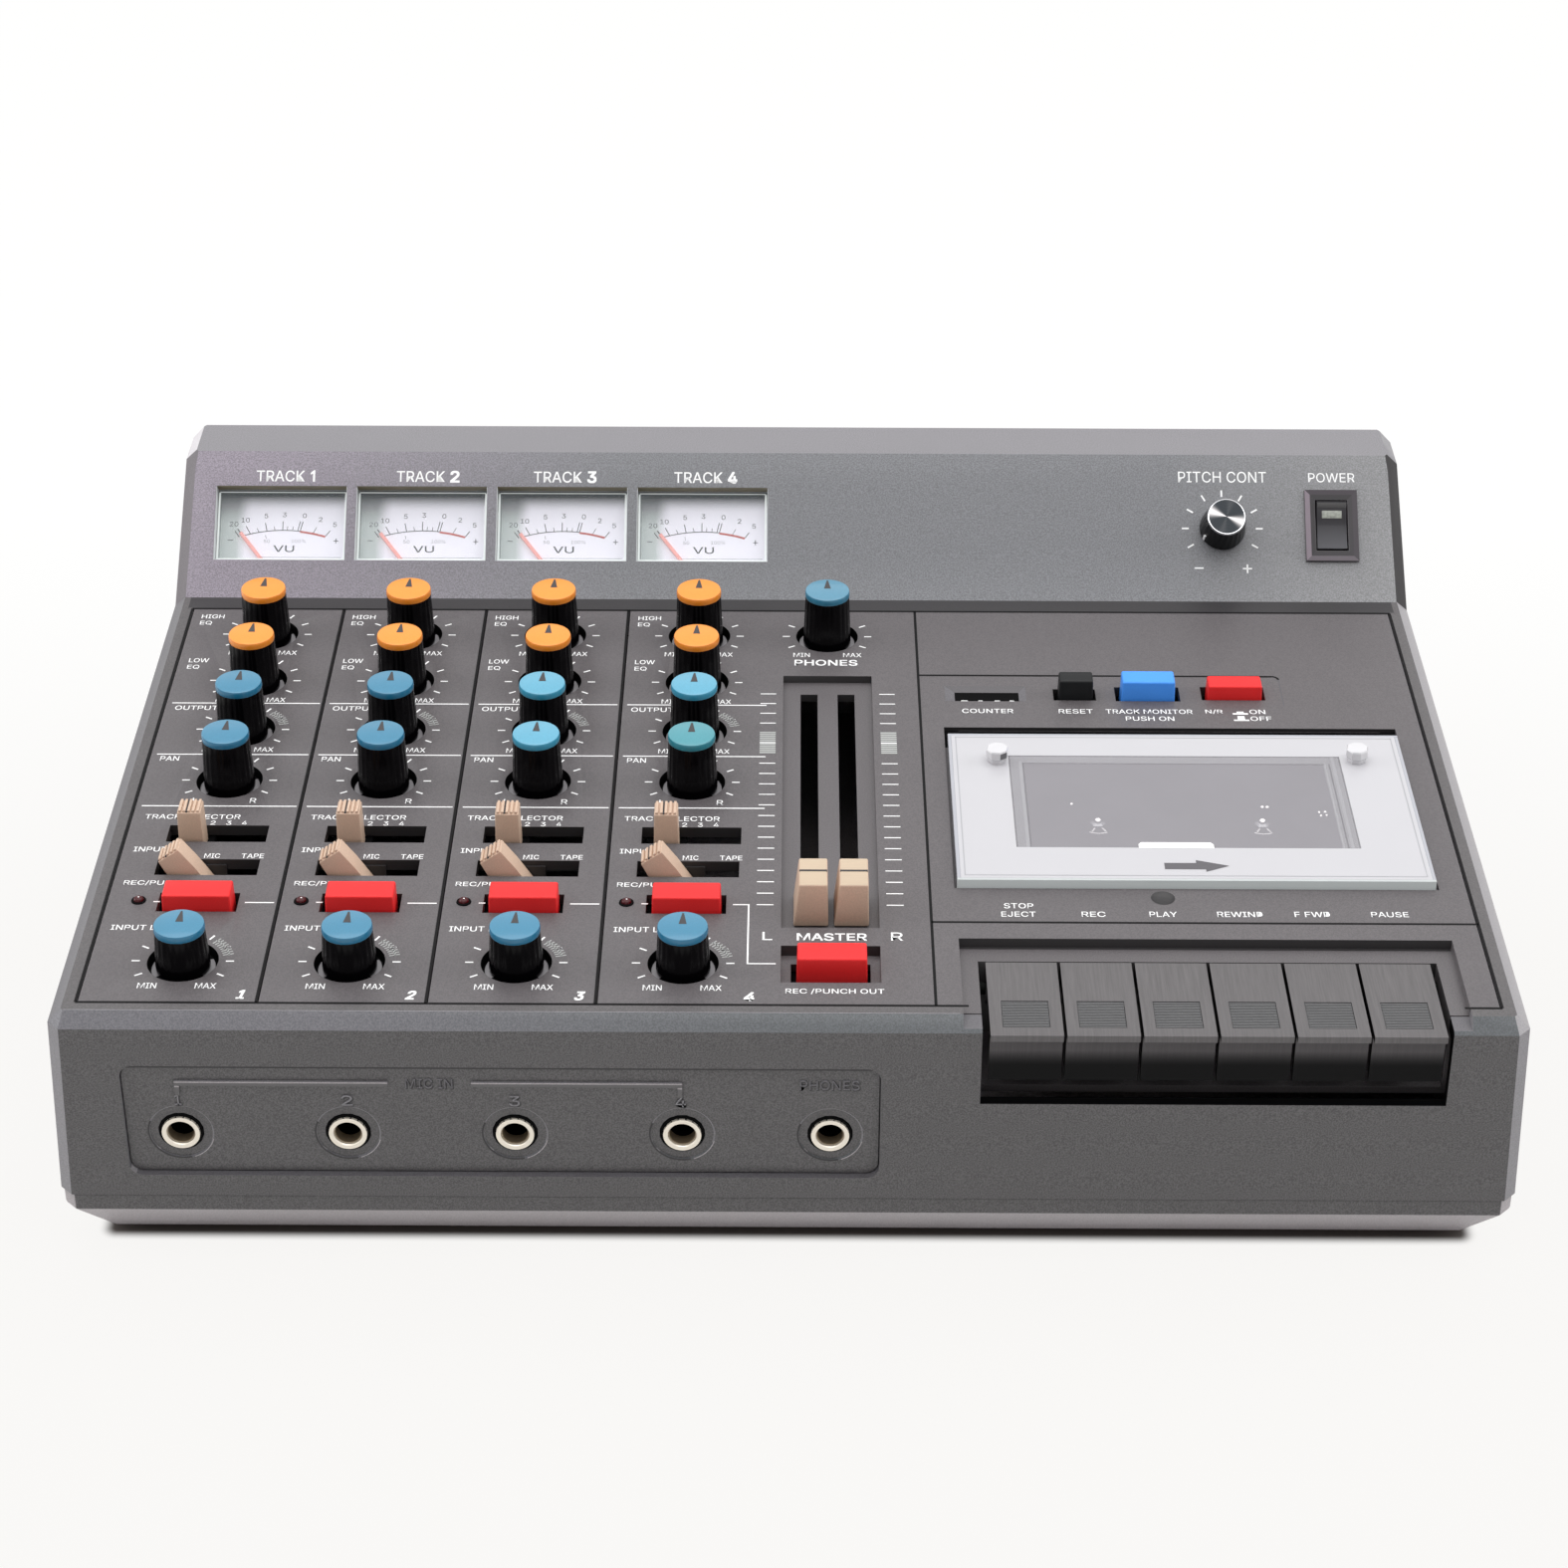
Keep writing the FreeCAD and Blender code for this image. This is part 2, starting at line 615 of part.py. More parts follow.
def master_cuts():
    half, y0, y1, depth = TROUGH
    cuts = [box(MASTER_X - half, MASTER_X + half, y0, y1, -depth, OVER)]
    run0 = FADER_START - FADER_STEM[1] / 2 - SEAT_GAP
    run1 = FADER_START + FADER_TRAVEL + FADER_STEM[1] / 2 + SEAT_GAP
    for x in fader_centres():
        cuts.append(box(x - FADER_SLOT_HALF, x + FADER_SLOT_HALF, run0, run1, -depth - BACKING - OVER, OVER))
    p_half, q0, q1, well = PUNCH_RECESS
    cuts.append(box(MASTER_X - p_half, MASTER_X + p_half, q0, q1, -well, OVER))
    cuts.append(button_slot(PUNCH_BUTTON, MASTER_X, -well - BACKING))
    return cuts + knob_well(MASTER_X, ROWS["high_eq"])


def hinge_cuts(side):
    """The lid's arm slot, and a square pocket beyond it for the hinge pin."""
    edge = DECK_X + side * LID_RECESS_HALF
    inner = edge - side * (LID_SIDE + LID_ARM[0] + SEAT_GAP)
    x0, x1 = sorted((inner, edge))
    arm = box(x0, x1, LID[1] - OVER, LID_RECESS[1], -PANEL_THICK - OVER, OVER)
    p0, p1 = sorted((edge - side * OVER, edge + side * (HINGE_PIN_REACH + SEAT_GAP)))
    y, drop = LID_HINGE
    half = HINGE_PIN_RADIUS + RUN_GAP
    return [arm, box(p0, p1, y - half, y + half, -drop - half, -drop + half)]


def deck_plate():
    left = DECK_GROOVE + GROOVE / 2
    right = PANEL_HALF - SIDE_GAP
    deck = plate(left, right, BAY_GROOVE + GROOVE / 2, PANEL_DEPTH - SIDE_GAP)
    front, rear, depth = LID_RECESS
    cuts = [box(DECK_X - LID_RECESS_HALF, DECK_X + LID_RECESS_HALF, front, rear, -depth, OVER)]
    cuts.append(box(DECK_X - WELL_HALF, DECK_X + WELL_HALF, WELL_FRONT, WELL_REAR, -PANEL_THICK - OVER, OVER))
    cuts += hinge_cuts(-1) + hinge_cuts(1)
    x0, x1, y0, y1 = COUNTER_FRAME
    cuts += [box(DECK_X + x0, DECK_X + x1, y0, y1, -COUNTER_FRAME_DEPTH, OVER), slot(COUNTER_HOLE, DECK_X)]
    for button in (RESET_BUTTON, MONITOR_BUTTON, NOISE_BUTTON):
        cuts.append(button_slot(button, DECK_X, -PANEL_THICK))
    return deck.cut(cuts).removeSplitter()


def key_bay():
    left = DECK_GROOVE + GROOVE / 2
    right = PANEL_HALF - SIDE_GAP
    bay = plate(left, right, SIDE_GAP, BAY_GROOVE - GROOVE / 2)
    recess = BAY_HALF + KEY_RECESS_SIDE
    shelf_half = recess + BACKING_MARGIN
    outer = BAY_HALF + BAY_WALL
    shelf = box(DECK_X - shelf_half, DECK_X + shelf_half, LEDGE_WIDTH + SEAT_GAP,
                KEY_RECESS_REAR + BACKING_MARGIN, -KEY_RECESS_DEPTH - BACKING, -PANEL_THICK / 2)
    shell = box(DECK_X - outer, DECK_X + outer, SIDE_GAP, BAY_REAR + BAY_WALL,
                -BAY_DEPTH - BAY_WALL, -PANEL_THICK / 2)
    rod_y, rod_drop = KEY_PIVOT
    half = KEY_ROD_RADIUS + RUN_GAP
    cuts = [
        box(DECK_X - BAY_HALF, DECK_X + BAY_HALF, -OVER, BAY_REAR, -BAY_DEPTH, OVER),
        box(DECK_X - recess, DECK_X + recess, -OVER, KEY_RECESS_REAR, -KEY_RECESS_DEPTH, OVER),
        box(DECK_X - outer - OVER, DECK_X + outer + OVER, rod_y - half, rod_y + half,
            -rod_drop - half, half - rod_drop)]
    return bay.fuse([shelf, shell]).cut(cuts).removeSplitter()


def control_panel():
    strips = [channel_strip(i) for i in range(CHANNELS)]
    return strips + [deck_plate(), key_bay()]


def shaft(x, y, top):
    """A round shaft with a flat down one side."""
    flat = box(x + SHAFT_FLAT, x + SHAFT_RADIUS + OVER, y - SHAFT_RADIUS, y + SHAFT_RADIUS,
               -SHAFT_BELOW - OVER, top)
    return post(SHAFT_RADIUS, x, y, -SHAFT_BELOW, top).cut(flat)


def knob(x, y, top):
    foot = V(x, y, SEAT_GAP - WELL_DEPTH)
    grip = turned(KNOB_BASE_RADIUS, FLUTES, foot, V(x, y, top), KNOB_TOP_RADIUS)
    return grip.fuse(shaft(x, y, top / 2)).removeSplitter()


def pitch_knob():
    base = V(PITCH_X, PITCH_S, SEAT_GAP)
    grip = turned(PITCH_BASE_RADIUS, FLUTES, base, V(PITCH_X, PITCH_S, PITCH_HEIGHT), PITCH_TOP_RADIUS)
    return to_face(grip.fuse(shaft(PITCH_X, PITCH_S, PITCH_HEIGHT / 2)).removeSplitter())


def track_lever(index):
    x = channel_x(index) + TRACK_X
    y = (TRACK_SLOT[2] + TRACK_SLOT[3]) / 2
    under = -(PANEL_THICK + SEAT_GAP)
    lever = centred(x, y, TRACK_LEVER[0], TRACK_LEVER[1], under - CARRIER[2] / 2, TRACK_LEVER[2])
    return lever.fuse(centred(x, y, CARRIER[0], CARRIER[1], under - CARRIER[2], under)).removeSplitter()


def input_lever(index):
    """A flat lever leans to the left on trunnions below the panel."""
    x = channel_x(index)
    middle = (INPUT_SLOT[2] + INPUT_SLOT[3]) / 2
    width, depth, length = INPUT_LEVER
    half = INPUT_WAIST / 2
    shoulder = length * INPUT_SHOULDER
    outline = [V(x - half, 0, -INPUT_HEEL), V(x + half, 0, -INPUT_HEEL), V(x + half, 0, 0),
               V(x + width / 2, 0, shoulder), V(x + width / 2, 0, length), V(x - width / 2, 0, length),
               V(x - width / 2, 0, shoulder), V(x - half, 0, 0)]
    blade = prism(outline, middle - depth / 2, depth, AXIS_Y)
    reach = depth / 2 + SEAT_GAP + TRUNNION_REACH
    lever = fuse([blade, along_y(TRUNNION_RADIUS, x, 0, middle - reach, middle + reach)])
    lever.rotate(V(x, middle, 0), AXIS_Y, -INPUT_LEAN)
    lever.translate(V(0, 0, -INPUT_PIVOT_DROP))
    return lever


def push_button(button, middle, floor):
    """The cap stands in its slot and a flange under the panel holds it in."""
    x, y, width, depth, top = button
    lip, thick = BUTTON_FLANGE
    under = floor - SEAT_GAP
    cap = centred(middle + x, y, width, depth, under - thick / 2, top)
    flange = centred(middle + x, y, width + 2 * (BUTTON_SIDE_PLAY + lip), depth + 2 * (BUTTON_END_PLAY + lip),
                     under - thick, under)
    return cap.fuse(flange).removeSplitter()


def fader(x):
    """A tall tapered cap on a stem that runs in the trough's slot."""
    depth = TROUGH[3]
    under = -(depth + BACKING + SEAT_GAP)
    cap = flat_sided([oblong(x, FADER_START, SEAT_GAP - depth, *FADER_CAP_BASE),
                      oblong(x, FADER_START, FADER_CAP_HEIGHT, *FADER_CAP_TOP)])
    stem = centred(x, FADER_START, FADER_STEM[0], FADER_STEM[1], under - FADER_BLOCK[2] / 2,
                   FADER_CAP_HEIGHT / 2)
    block = centred(x, FADER_START, FADER_BLOCK[0], FADER_BLOCK[1], under - FADER_BLOCK[2], under)
    return fuse([cap, stem, block])


def transport_key(index):
    """A bent plate with a skirt in front and a hook behind that sits on the rod."""
    x0 = DECK_X - KEY_SPAN / 2 + KEY_PITCH * index
    rod_y, rod_drop = KEY_PIVOT
    back = KEY_FRONT + KEY_SKIRT_BACK
    under = -(KEY_FRONT_TOP + KEY_PLATE)
    outline = [
        V(0, KEY_REAR, -KEY_REAR_TOP), V(0, KEY_FRONT, -KEY_FRONT_TOP),
        V(0, KEY_FRONT, -KEY_FRONT_TOP - KEY_LIP), V(0, back, -KEY_FRONT_TOP - KEY_LIP),
        V(0, back, -KEY_SKIRT_DROP), V(0, back + WALL / 2, -KEY_SKIRT_DROP),
        V(0, back + WALL / 2, under), V(0, rod_y - KEY_HOOK, under),
        V(0, rod_y - KEY_HOOK, -rod_drop - KEY_HOOK), V(0, rod_y + KEY_HOOK / 2, -rod_drop - KEY_HOOK),
        V(0, KEY_REAR, -rod_drop)]
    body = prism(outline, x0, KEY_WIDTH, AXIS_X)
    half = KEY_ROD_RADIUS + RUN_GAP
    seat = bar(half, x0 - OVER, x0 + KEY_WIDTH + OVER, rod_y, -rod_drop)
    mouth = box(x0 - OVER, x0 + KEY_WIDTH + OVER, rod_y - half, rod_y + half,
                -rod_drop - KEY_HOOK - OVER, -rod_drop)
    return body.cut([seat, mouth]).removeSplitter()


def lid_arm():
    """Side outline of the arm that runs from the lid's rear edge down to its pin."""
    front, rear, top, thick = LID
    hinge_y, hinge_drop = LID_HINGE
    width, past = LID_ARM
    return [V(0, rear - width, top - thick / 2), V(0, rear, top), V(0, hinge_y + past, -hinge_drop / 2),
            V(0, hinge_y + past, -hinge_drop - past), V(0, rear - past / 2, -hinge_drop - past),
            V(0, rear - past / 2, top - thick)]


def cassette_lid():
    front, rear, top, thick = LID
    hinge_y, hinge_drop = LID_HINGE
    pieces = [box(DECK_X - LID_HALF, DECK_X + LID_HALF, front, rear, top - thick, top)]
    for side in (-1, 1):
        outer = DECK_X + side * LID_HALF
        x0, x1 = sorted((outer, outer - side * LID_ARM[0]))
        pieces.append(prism(lid_arm(), x0, x1 - x0, AXIS_X))
        reach = DECK_X + side * (LID_RECESS_HALF + HINGE_PIN_REACH)
        p0, p1 = sorted((outer - side * LID_ARM[0] / 2, reach))
        pieces.append(bar(HINGE_PIN_RADIUS, p0, p1, hinge_y, -hinge_drop))
    return fuse(pieces)


def deck_tray():
    top = -(PANEL_THICK + SEAT_GAP)
    outside = box(DECK_X - WELL_HALF - TRAY_WALL, DECK_X + WELL_HALF + TRAY_WALL, WELL_FRONT - TRAY_WALL,
                  WELL_REAR + TRAY_WALL, -WELL_FLOOR - TRAY_WALL, top)
    inside = box(DECK_X - WELL_HALF, DECK_X + WELL_HALF, WELL_FRONT, WELL_REAR, -WELL_FLOOR, top + OVER)
    return outside.cut(inside)


def spindle(x):
    """A disc and a toothed nose that drives a cassette's hub."""
    floor = V(x, SPINDLE_Y, -WELL_FLOOR)
    radius, thick = SPINDLE_HUB
    hub = turned(radius, FLUTES, floor, floor + AXIS_Z * thick)
    nose = turned(SPINDLE_RADIUS, SPINDLE_TEETH, floor, V(x, SPINDLE_Y, -SPINDLE_TOP), SPINDLE_NOSE)
    return fuse([hub, nose])


def counter_works():
    """A block under the panel whose drums curve up into the counter's hole."""
    x0, x1, y0, y1 = COUNTER_HOLE
    x = DECK_X + (x0 + x1) / 2
    y = (y0 + y1) / 2
    top = -(PANEL_THICK + SEAT_GAP)
    width, depth, height = COUNTER_BLOCK
    block = centred(x, y, width, depth, top - height, top)
    half = (x1 - x0) / 2 - SIDE_GAP
    drums = bar(DRUM_RADIUS, x - half, x + half, y, -DRUM_TOP - DRUM_RADIUS)
    hole = box(x - half, x + half, y0 + SIDE_GAP, y1 - SIDE_GAP, top - OVER, 0)
    return block.fuse(drums.common(hole)).removeSplitter()


def deck_post(place, sides):
    x, y, radius, drop = place
    return turned(radius, sides, V(DECK_X + x, y, -WELL_FLOOR), V(DECK_X + x, y, -drop))


def tape_deck():
    pieces = [deck_tray(), counter_works(), deck_post(CAPSTAN, SMALL_SIDES), deck_post(ROLLER, FLUTES)]
    pieces += [spindle(DECK_X + side * SPINDLE_PITCH / 2) for side in (-1, 1)]
    half, y0, y1, drop = HEAD_BLOCK
    pieces.append(box(DECK_X - half, DECK_X + half, y0, y1, -WELL_FLOOR, -drop))
    rod_y, rod_drop = KEY_PIVOT
    rod = BAY_HALF + BAY_WALL
    pieces.append(bar(KEY_ROD_RADIUS, DECK_X - rod, DECK_X + rod, rod_y, -rod_drop))
    return pieces


def front_socket(x):
    """A threaded ring shows in the panel's hole; the body stands behind the panel."""
    behind = JACK_FACE + JACK_PLATE + SEAT_GAP
    face = JACK_FACE - JACK_PROUD
    end = face + JACK_MOUTH_DEPTH + JACK_BORE_LENGTH
    half = JACK_BODY / 2
    ring = turned(JACK_RING_RADIUS, RIM_SIDES, V(x, face, -JACK_DROP), V(x, behind + OVER, -JACK_DROP))
    body = box(x - half, x + half, behind, end + WALL, -JACK_DROP - half, -JACK_DROP + half)
    inside = V(x, face + JACK_MOUTH_DEPTH, -JACK_DROP)
    mouth = turned(JACK_MOUTH_RADIUS, RIM_SIDES, V(x, face - OVER, -JACK_DROP), inside)
    bore = along_y(JACK_BORE_RADIUS, x, -JACK_DROP, face, end)
    return ring.fuse(body).cut([mouth, bore]).removeSplitter()


def line_strip():
    """A row of line sockets on one body, seen through a window in the rear wall."""
    rear = wall_rear(-LINE_DROP, 0)
    side, half, depth = LINE_BODY
    centres = line_centres()
    inner = wall_rear(-LINE_DROP - half, WALL) - SEAT_GAP * 2
    strip = box(centres[0] - side, centres[-1] + side, inner - depth, inner,
                -LINE_DROP - half, -LINE_DROP + half)
    rings = []
    bores = []
    for x in centres:
        mouth = V(x, rear, -LINE_DROP)
        rings.append(turned(LINE_RING_RADIUS, RIM_SIDES, V(x, inner - OVER, -LINE_DROP), mouth))
        bottom = V(x, inner - depth / 2, -LINE_DROP)
        bores.append(turned(LINE_BORE_RADIUS, SMALL_SIDES, bottom, mouth + AXIS_Y))
    return strip.fuse(rings).cut(bores).removeSplitter()


def jack_sockets():
    return [front_socket(x) for x in jack_centres()] + [line_strip()]


def glass_back():
    return -(WALL + SEAT_GAP + GLASS_THICK)


def meter_windows():
    width, s0, s1 = METER_BODY
    back = glass_back()
    return [to_face(box(channel_x(i) - width / 2, channel_x(i) + width / 2, s0, s1, back, back + GLASS_THICK))
            for i in range(CHANNELS)]


def meter_body(index):
    width, s0, s1 = METER_BODY
    x = channel_x(index)
    front = glass_back() - SEAT_GAP
    outside = box(x - width / 2, x + width / 2, s0, s1, front - METER_BODY_DEPTH, front)
    inside = box(x - width / 2 + METER_WALL, x + width / 2 - METER_WALL, s0 + METER_WALL, s1 - METER_WALL,
                 front - METER_DIAL_DEPTH, front + OVER)
    return to_face(outside.cut(inside))


def meter_bodies():
    return [meter_body(i) for i in range(CHANNELS)]


def vu_needle(index):
    x = channel_x(index)
    dial = glass_back() - SEAT_GAP - METER_DIAL_DEPTH
    low = dial + NEEDLE_CLEAR
    half = NEEDLE_WIDTH / 2
    blade = box(x - half, x + half, NEEDLE_PIVOT_S, NEEDLE_PIVOT_S + NEEDLE_LENGTH, low, low + NEEDLE_THICK)
    hub = post(NEEDLE_HUB_RADIUS, x, NEEDLE_PIVOT_S, dial + SEAT_GAP, low + NEEDLE_THICK * 2)
    needle = blade.fuse(hub).removeSplitter()
    needle.rotate(V(x, NEEDLE_PIVOT_S, 0), AXIS_Z, NEEDLE_REST)
    return to_face(needle)


def power_rocker():
    """A shallow V in side view: the far end stands up when the near one is in."""
    width, length = ROCKER
    half = length / 2
    swing = math.radians(ROCKER_SWING)
    foot_half, foot_drop = ROCKER_FOOT
    outline = [V(0, -half, ROCKER_PROUD), V(0, 0, ROCKER_PROUD),
               V(0, half * math.cos(swing), ROCKER_PROUD + half * math.sin(swing)),
               V(0, foot_half, -foot_drop), V(0, -foot_half, -foot_drop)]
    moved = [p + V(0, POWER_S, 0) for p in outline]
    reach = width / 2 + ROCKER_PIN_REACH
    pins = bar(ROCKER_PIN_RADIUS, POWER_X - reach, POWER_X + reach, POWER_S, -ROCKER_PIVOT_DROP)
    return to_face(fuse([prism(moved, POWER_X - width / 2, width, AXIS_X), pins]))


def all_parts():
    parts = {
        "upper_case": [upper_case(), socket_panel()],
        "bottom_case": [bottom_case()],
        "rubber_feet": rubber_feet(),
        "control_panel": control_panel(),
        "tape_deck": tape_deck(),
        "jack_sockets": jack_sockets(),
        "meter_bodies": meter_bodies(),
        "meter_windows": meter_windows(),
        "cassette_lid": [cassette_lid()],
        "power_rocker": [power_rocker()],
        "pitch_knob": [pitch_knob()],
        "phones_knob": [knob(MASTER_X, ROWS["high_eq"], KNOB_TOP)],
        "fader_left": [fader(fader_centres()[0])],
        "fader_right": [fader(fader_centres()[1])],
        "punch_out_button": [push_button(PUNCH_BUTTON, MASTER_X, -(PUNCH_RECESS[3] + BACKING))],
        "counter_reset_button": [push_button(RESET_BUTTON, DECK_X, -PANEL_THICK)],
        "track_monitor_button": [push_button(MONITOR_BUTTON, DECK_X, -PANEL_THICK)],
        "noise_reduction_button": [push_button(NOISE_BUTTON, DECK_X, -PANEL_THICK)]}
    for index in range(CHANNELS):
        name = "ch%d_" % (index + 1)
        for row, y in ROWS.items():
            top = LEVEL_KNOB_TOP if row == "input_level" else KNOB_TOP
            parts[name + row + "_knob"] = [knob(channel_x(index), y, top)]
        parts[name + "track_lever"] = [track_lever(index)]
        parts[name + "input_lever"] = [input_lever(index)]
        parts[name + "rec_button"] = [push_button(REC_BUTTON, channel_x(index), -PANEL_THICK)]
        parts[name + "vu_needle"] = [vu_needle(index)]
    for index in range(KEYS):
        parts["transport_key_%d" % (index + 1)] = [transport_key(index)]
    return parts


def write(parts):
    os.makedirs("parts", exist_ok=True)
    front = wall_front(-SEAM_DROP, 0)
    lip = KEY_FRONT
    rear = wall_rear(-SEAM_DROP, 0)
    middle = (min(front, lip) + rear) / 2
    for name, solids in parts.items():
        shape = solids[0] if len(solids) == 1 else Part.makeCompound(solids)
        shape.translate(V(0, -middle, PANEL_HEIGHT))
        shape.exportStep("parts/%s.step" % name)


write(all_parts())
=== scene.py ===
"""Looks of the four track cassette recorder.

Pieces are drawn in millimetres in the control panel's own frame: the panel's
face is z = 0 and the middle of its front groove is the zero. PANEL carries a
drawing to the model. FACE carries what is drawn flat, with y up the slope, to
the slanted face of the meter bridge.
"""
import bmesh
import bpy
import math
import os
from mathutils import Matrix, Vector


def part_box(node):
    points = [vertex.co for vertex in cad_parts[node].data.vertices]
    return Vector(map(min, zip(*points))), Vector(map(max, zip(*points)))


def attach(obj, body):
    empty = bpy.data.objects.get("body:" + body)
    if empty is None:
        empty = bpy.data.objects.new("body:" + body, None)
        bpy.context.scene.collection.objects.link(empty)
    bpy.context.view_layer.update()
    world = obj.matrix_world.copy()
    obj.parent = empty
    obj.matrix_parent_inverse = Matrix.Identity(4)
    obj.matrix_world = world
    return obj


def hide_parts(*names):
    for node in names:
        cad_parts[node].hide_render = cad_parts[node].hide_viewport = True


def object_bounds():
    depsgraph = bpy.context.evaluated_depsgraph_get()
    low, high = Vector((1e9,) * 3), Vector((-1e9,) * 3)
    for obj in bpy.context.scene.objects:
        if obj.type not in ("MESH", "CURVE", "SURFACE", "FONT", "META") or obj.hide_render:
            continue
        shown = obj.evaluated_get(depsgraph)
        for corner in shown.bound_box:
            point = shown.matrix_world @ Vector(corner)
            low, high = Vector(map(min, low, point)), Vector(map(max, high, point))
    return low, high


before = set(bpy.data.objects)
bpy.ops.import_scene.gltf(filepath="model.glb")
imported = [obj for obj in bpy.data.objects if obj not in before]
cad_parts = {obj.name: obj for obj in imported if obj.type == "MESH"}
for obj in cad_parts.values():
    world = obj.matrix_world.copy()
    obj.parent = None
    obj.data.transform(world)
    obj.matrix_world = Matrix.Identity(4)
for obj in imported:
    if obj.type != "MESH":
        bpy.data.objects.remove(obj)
cad_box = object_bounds()

MM = 0.001
PLATE_GAP = 0.4
PANEL_THICK = 3.0
panel_low, panel_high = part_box("control_panel")
PANEL = Matrix.Translation((0, panel_low[1] - PLATE_GAP * MM, panel_high[2])) @ Matrix.Scale(MM, 4)

BRIDGE_FOOT = 194.0
BRIDGE_RISE = 29.8
BRIDGE_RUN = 32.3
SLOPE = math.atan2(BRIDGE_RISE, BRIDGE_RUN)
FACE = PANEL @ Matrix.Translation((0, BRIDGE_FOOT, 0)) @ Matrix.Rotation(SLOPE, 4, "X")

CHANNELS = 4
FIRST_CHANNEL = -145.3
CHANNEL_PITCH = 40.0
MASTER = 10.1           # middle of the master strip
DECK = 100.9            # middle of the tape deck
ROWS = {"high_eq": 173.3, "low_eq": 148.2, "output": 122.9, "pan": 97.7, "input_level": 16.8}
INK = 0.03              # printed marks stand this far off their surface


def channel(index):
    return FIRST_CHANNEL + CHANNEL_PITCH * index


def strip_left(index):
    return -167.6 if index == 0 else -125.3 + CHANNEL_PITCH * (index - 1)


def at(x, y, z=0.0):
    return Matrix.Translation((x, y, z))


def turn(degrees, axis="Z"):
    return Matrix.Rotation(math.radians(degrees), 4, axis)


# ---------------------------------------------------------------- finishes

class Field:
    """A shader value; sums, products and limits of fields add their Math nodes."""

    def __init__(self, tree, socket):
        self.tree = tree
        self.socket = socket

    def math(self, operation, *others, clamp=False):
        node = self.tree.nodes.new("ShaderNodeMath")
        node.operation = operation
        node.use_clamp = clamp
        for slot, value in zip(node.inputs, (self,) + others):
            feed(self.tree, slot, value)
        return Field(self.tree, node.outputs[0])

    def __add__(self, other):
        return self.math("ADD", other)

    __radd__ = __add__

    def __sub__(self, other):
        return self.math("SUBTRACT", other)

    def __rsub__(self, other):
        return self.math("MULTIPLY_ADD", -1.0, other)

    def __mul__(self, other):
        return self.math("MULTIPLY", other)

    def limited(self):
        return self.math("ADD", 0.0, clamp=True)


def feed(tree, slot, value):
    if isinstance(value, Field):
        tree.links.new(value.socket, slot)
    elif slot.type == "RGBA" and len(value) == 3:
        slot.default_value = (*value, 1.0)
    else:
        slot.default_value = value


def srgb(red, green, blue):
    """A colour as it is seen, from 0 to 255, made linear."""
    def line(v):
        v = v / 255
        return v / 12.92 if v <= 0.04045 else ((v + 0.055) / 1.055) ** 2.4
    return (line(red), line(green), line(blue))


def dim(colour, by):
    return tuple(c * by for c in colour)


class Finish:
    """A material with its shader and the fields that feed it."""

    def __init__(self, name, **shader):
        self.material = bpy.data.materials.new(name)
        self.material.use_nodes = True
        self.tree = self.material.node_tree
        self.shader = self.tree.nodes["Principled BSDF"]
        self.shade(**shader)

    def node(self, kind, settings, values, out=0):
        made = self.tree.nodes.new("ShaderNode" + kind)
        for key, value in settings.items():
            setattr(made, key, value)
        for key, value in values.items():
            feed(self.tree, made.inputs[key], value)
        return Field(self.tree, made.outputs[out])

    def place(self):
        return self.node("TexCoord", {}, {}, out=3)

    def axes(self):
        """Model x, y and z in millimetres."""
        parts = self.tree.nodes.new("ShaderNodeSeparateXYZ")
        feed(self.tree, parts.inputs[0], self.place())
        return [Field(self.tree, out) * (1 / MM) for out in parts.outputs]

    def noise(self, size, detail=2.0, rough=0.5, stretch=(1, 1, 1)):
        """Noise with lumps of a size in millimetres."""
        scale = tuple(1 / (MM * size * s) for s in stretch)
        scaled = self.node("Mapping", {}, {0: self.place(), 3: scale})
        return self.node("TexNoise", {},
                         {"Vector": scaled, "Scale": 1.0, "Detail": detail, "Roughness": rough})

    def flecks(self, size, contrast=3.0):
        return ((self.noise(size, 1.0) - 0.5) * contrast + 0.5).limited()

    def mix(self, share, first, second):
        return self.node("Mix", {"data_type": "RGBA"}, {0: share, 6: first, 7: second}, out=2)

    def shade(self, **fields):
        for key, value in fields.items():
            name = key.replace("_", " ").title().replace("Ior", "IOR")
            feed(self.tree, self.shader.inputs[name], value)
        return self

    def bump(self, height, depth):
        """Relief of a depth in millimetres."""
        relief = {"Height": height, "Distance": depth * MM, "Strength": 1.0}
        return self.shade(Normal=self.node("Bump", {}, relief))


def background_rays(tree):
    """1 on the rays that show the white background: seen directly, mirrored or through glass."""
    ray = tree.nodes.new("ShaderNodeLightPath")
    direct, mirrored, through = (Field(tree, ray.outputs["Is %s Ray" % kind])
                                 for kind in ("Camera", "Glossy", "Transmission"))
    return (direct + mirrored + through).limited()


def plastic(name, seen, roughness, spread=0.06, speck=0.0, grain=0.0, grain_size=0.5, **shader):
    """Moulded plastic: slow drift of tone, fine specks, a fine grain and uneven gloss."""
    finish = Finish(name, **shader)
    drift = finish.noise(14.0, 3.0)
    colour = srgb(*seen)

    def drifting(level):
        return finish.mix(drift, dim(colour, (1 - spread) * level), dim(colour, (1 + spread) * level))

    if speck:
        tone = finish.mix(finish.flecks(0.34, 3.2), drifting(1 - speck), drifting(1 + speck))
    else:
        tone = drifting(1)
    finish.shade(Base_Color=tone, Roughness=(roughness - 0.05) + drift * 0.1)
    if grain:
        finish.bump(finish.noise(grain_size, 3.0, 0.6), grain)
    return finish.material


def paint(name, seen, roughness, speck, grain=0.03, spread=0.04, **shader):
    """The case's plastic with its coarser grain."""
    return plastic(name, seen, roughness, spread, speck, grain, 0.6, **shader)


